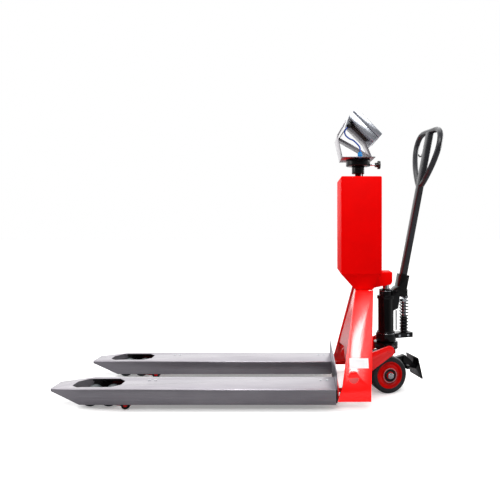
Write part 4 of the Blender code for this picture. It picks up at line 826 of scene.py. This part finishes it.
# a thin skin that follows a node's own surface, seen along one axis
def skinOn(name, node, spots, thick, look, way=(0, 1, 0), smooth=40):
    tree = raysOn(node)
    bm = bmesh.new()
    outer, inner = [], []
    for row in spots:
        top, under = [], []
        for spot in row:
            hit, normal = tree.ray_cast(Vector(spot), Vector(way))[:2]
            if normal.dot(Vector(way)) > 0:
                normal.negate()
            top.append(bm.verts.new(hit + normal * thick))
            under.append(bm.verts.new(hit + normal * 0.00005))
        outer.append(top)
        inner.append(under)
    for k in range(len(outer) - 1):
        for n in range(len(outer[0]) - 1):
            bm.faces.new((outer[k][n], outer[k][n + 1], outer[k + 1][n + 1], outer[k + 1][n]))
            bm.faces.new((inner[k][n], inner[k + 1][n], inner[k + 1][n + 1], inner[k][n + 1]))
    edge = ([(k, 0) for k in range(len(outer))] + [(len(outer) - 1, n) for n in range(1, len(outer[0]))]
            + [(k, len(outer[0]) - 1) for k in range(len(outer) - 2, -1, -1)]
            + [(0, n) for n in range(len(outer[0]) - 2, 0, -1)])
    for a, b in zip(edge, edge[1:] + edge[:1]):
        bm.faces.new((outer[a[0]][a[1]], inner[a[0]][a[1]], inner[b[0]][b[1]], outer[b[0]][b[1]]))
    addPiece(name, meshFrom(bm, name), finish[look], bodyOf[node], smooth=smooth)


def evenly(low, high, steps):
    return [low + (high - low) * k / steps for k in range(steps + 1)]


label = {"x": (0.3860, 0.4630), "z": (0.1600, 0.1950), "steps": (8, 5)}
across = evenly(*label["x"], label["steps"][0])
risen = evenly(*label["z"], label["steps"][1])
skinOn("blank_label", "frame_side_near", [[(x, -0.6, z) for x in across] for z in risen], 0.0004,
       "white vinyl label")

# round cover plates over the rocker shaft's ends
boss = {"radius": 0.021, "thick": 0.0016, "at": (0.40048, 0.130)}
for side, out in (("near", -1), ("far", 1)):
    tree = raysOn("frame_side_" + side)
    inward = Vector((0, -out, 0))
    round3 = ((-0.024, -0.020), (0.024, -0.020), (0.0, 0.026))
    x, z = boss["at"]
    spots = [tree.ray_cast(Vector((x + dx, out * 0.6, z + dz)), inward)[0] for dx, dz in round3]
    normal = (spots[1] - spots[0]).cross(spots[2] - spots[0]).normalized()
    if normal.y * out < 0:
        normal.negate()
    middle = sum(spots, Vector()) / 3
    r, t = boss["radius"], boss["thick"]
    disc = turnedMesh("disc", [(0.0, 0.0001), (r, 0.0001), (r, t - 0.0005), (r - 0.0005, t), (r - 0.0045, t),
                               (r - 0.0052, t - 0.0005), (r - 0.0060, t), (0.0, t)],
                      placeOf("rocker_turn", normal, middle), 64)
    addPiece("shaft_cover_" + side, disc, finish["red casting enamel"], bodyOf["frame_side_" + side],
             smooth=30)
print("label and covers done")
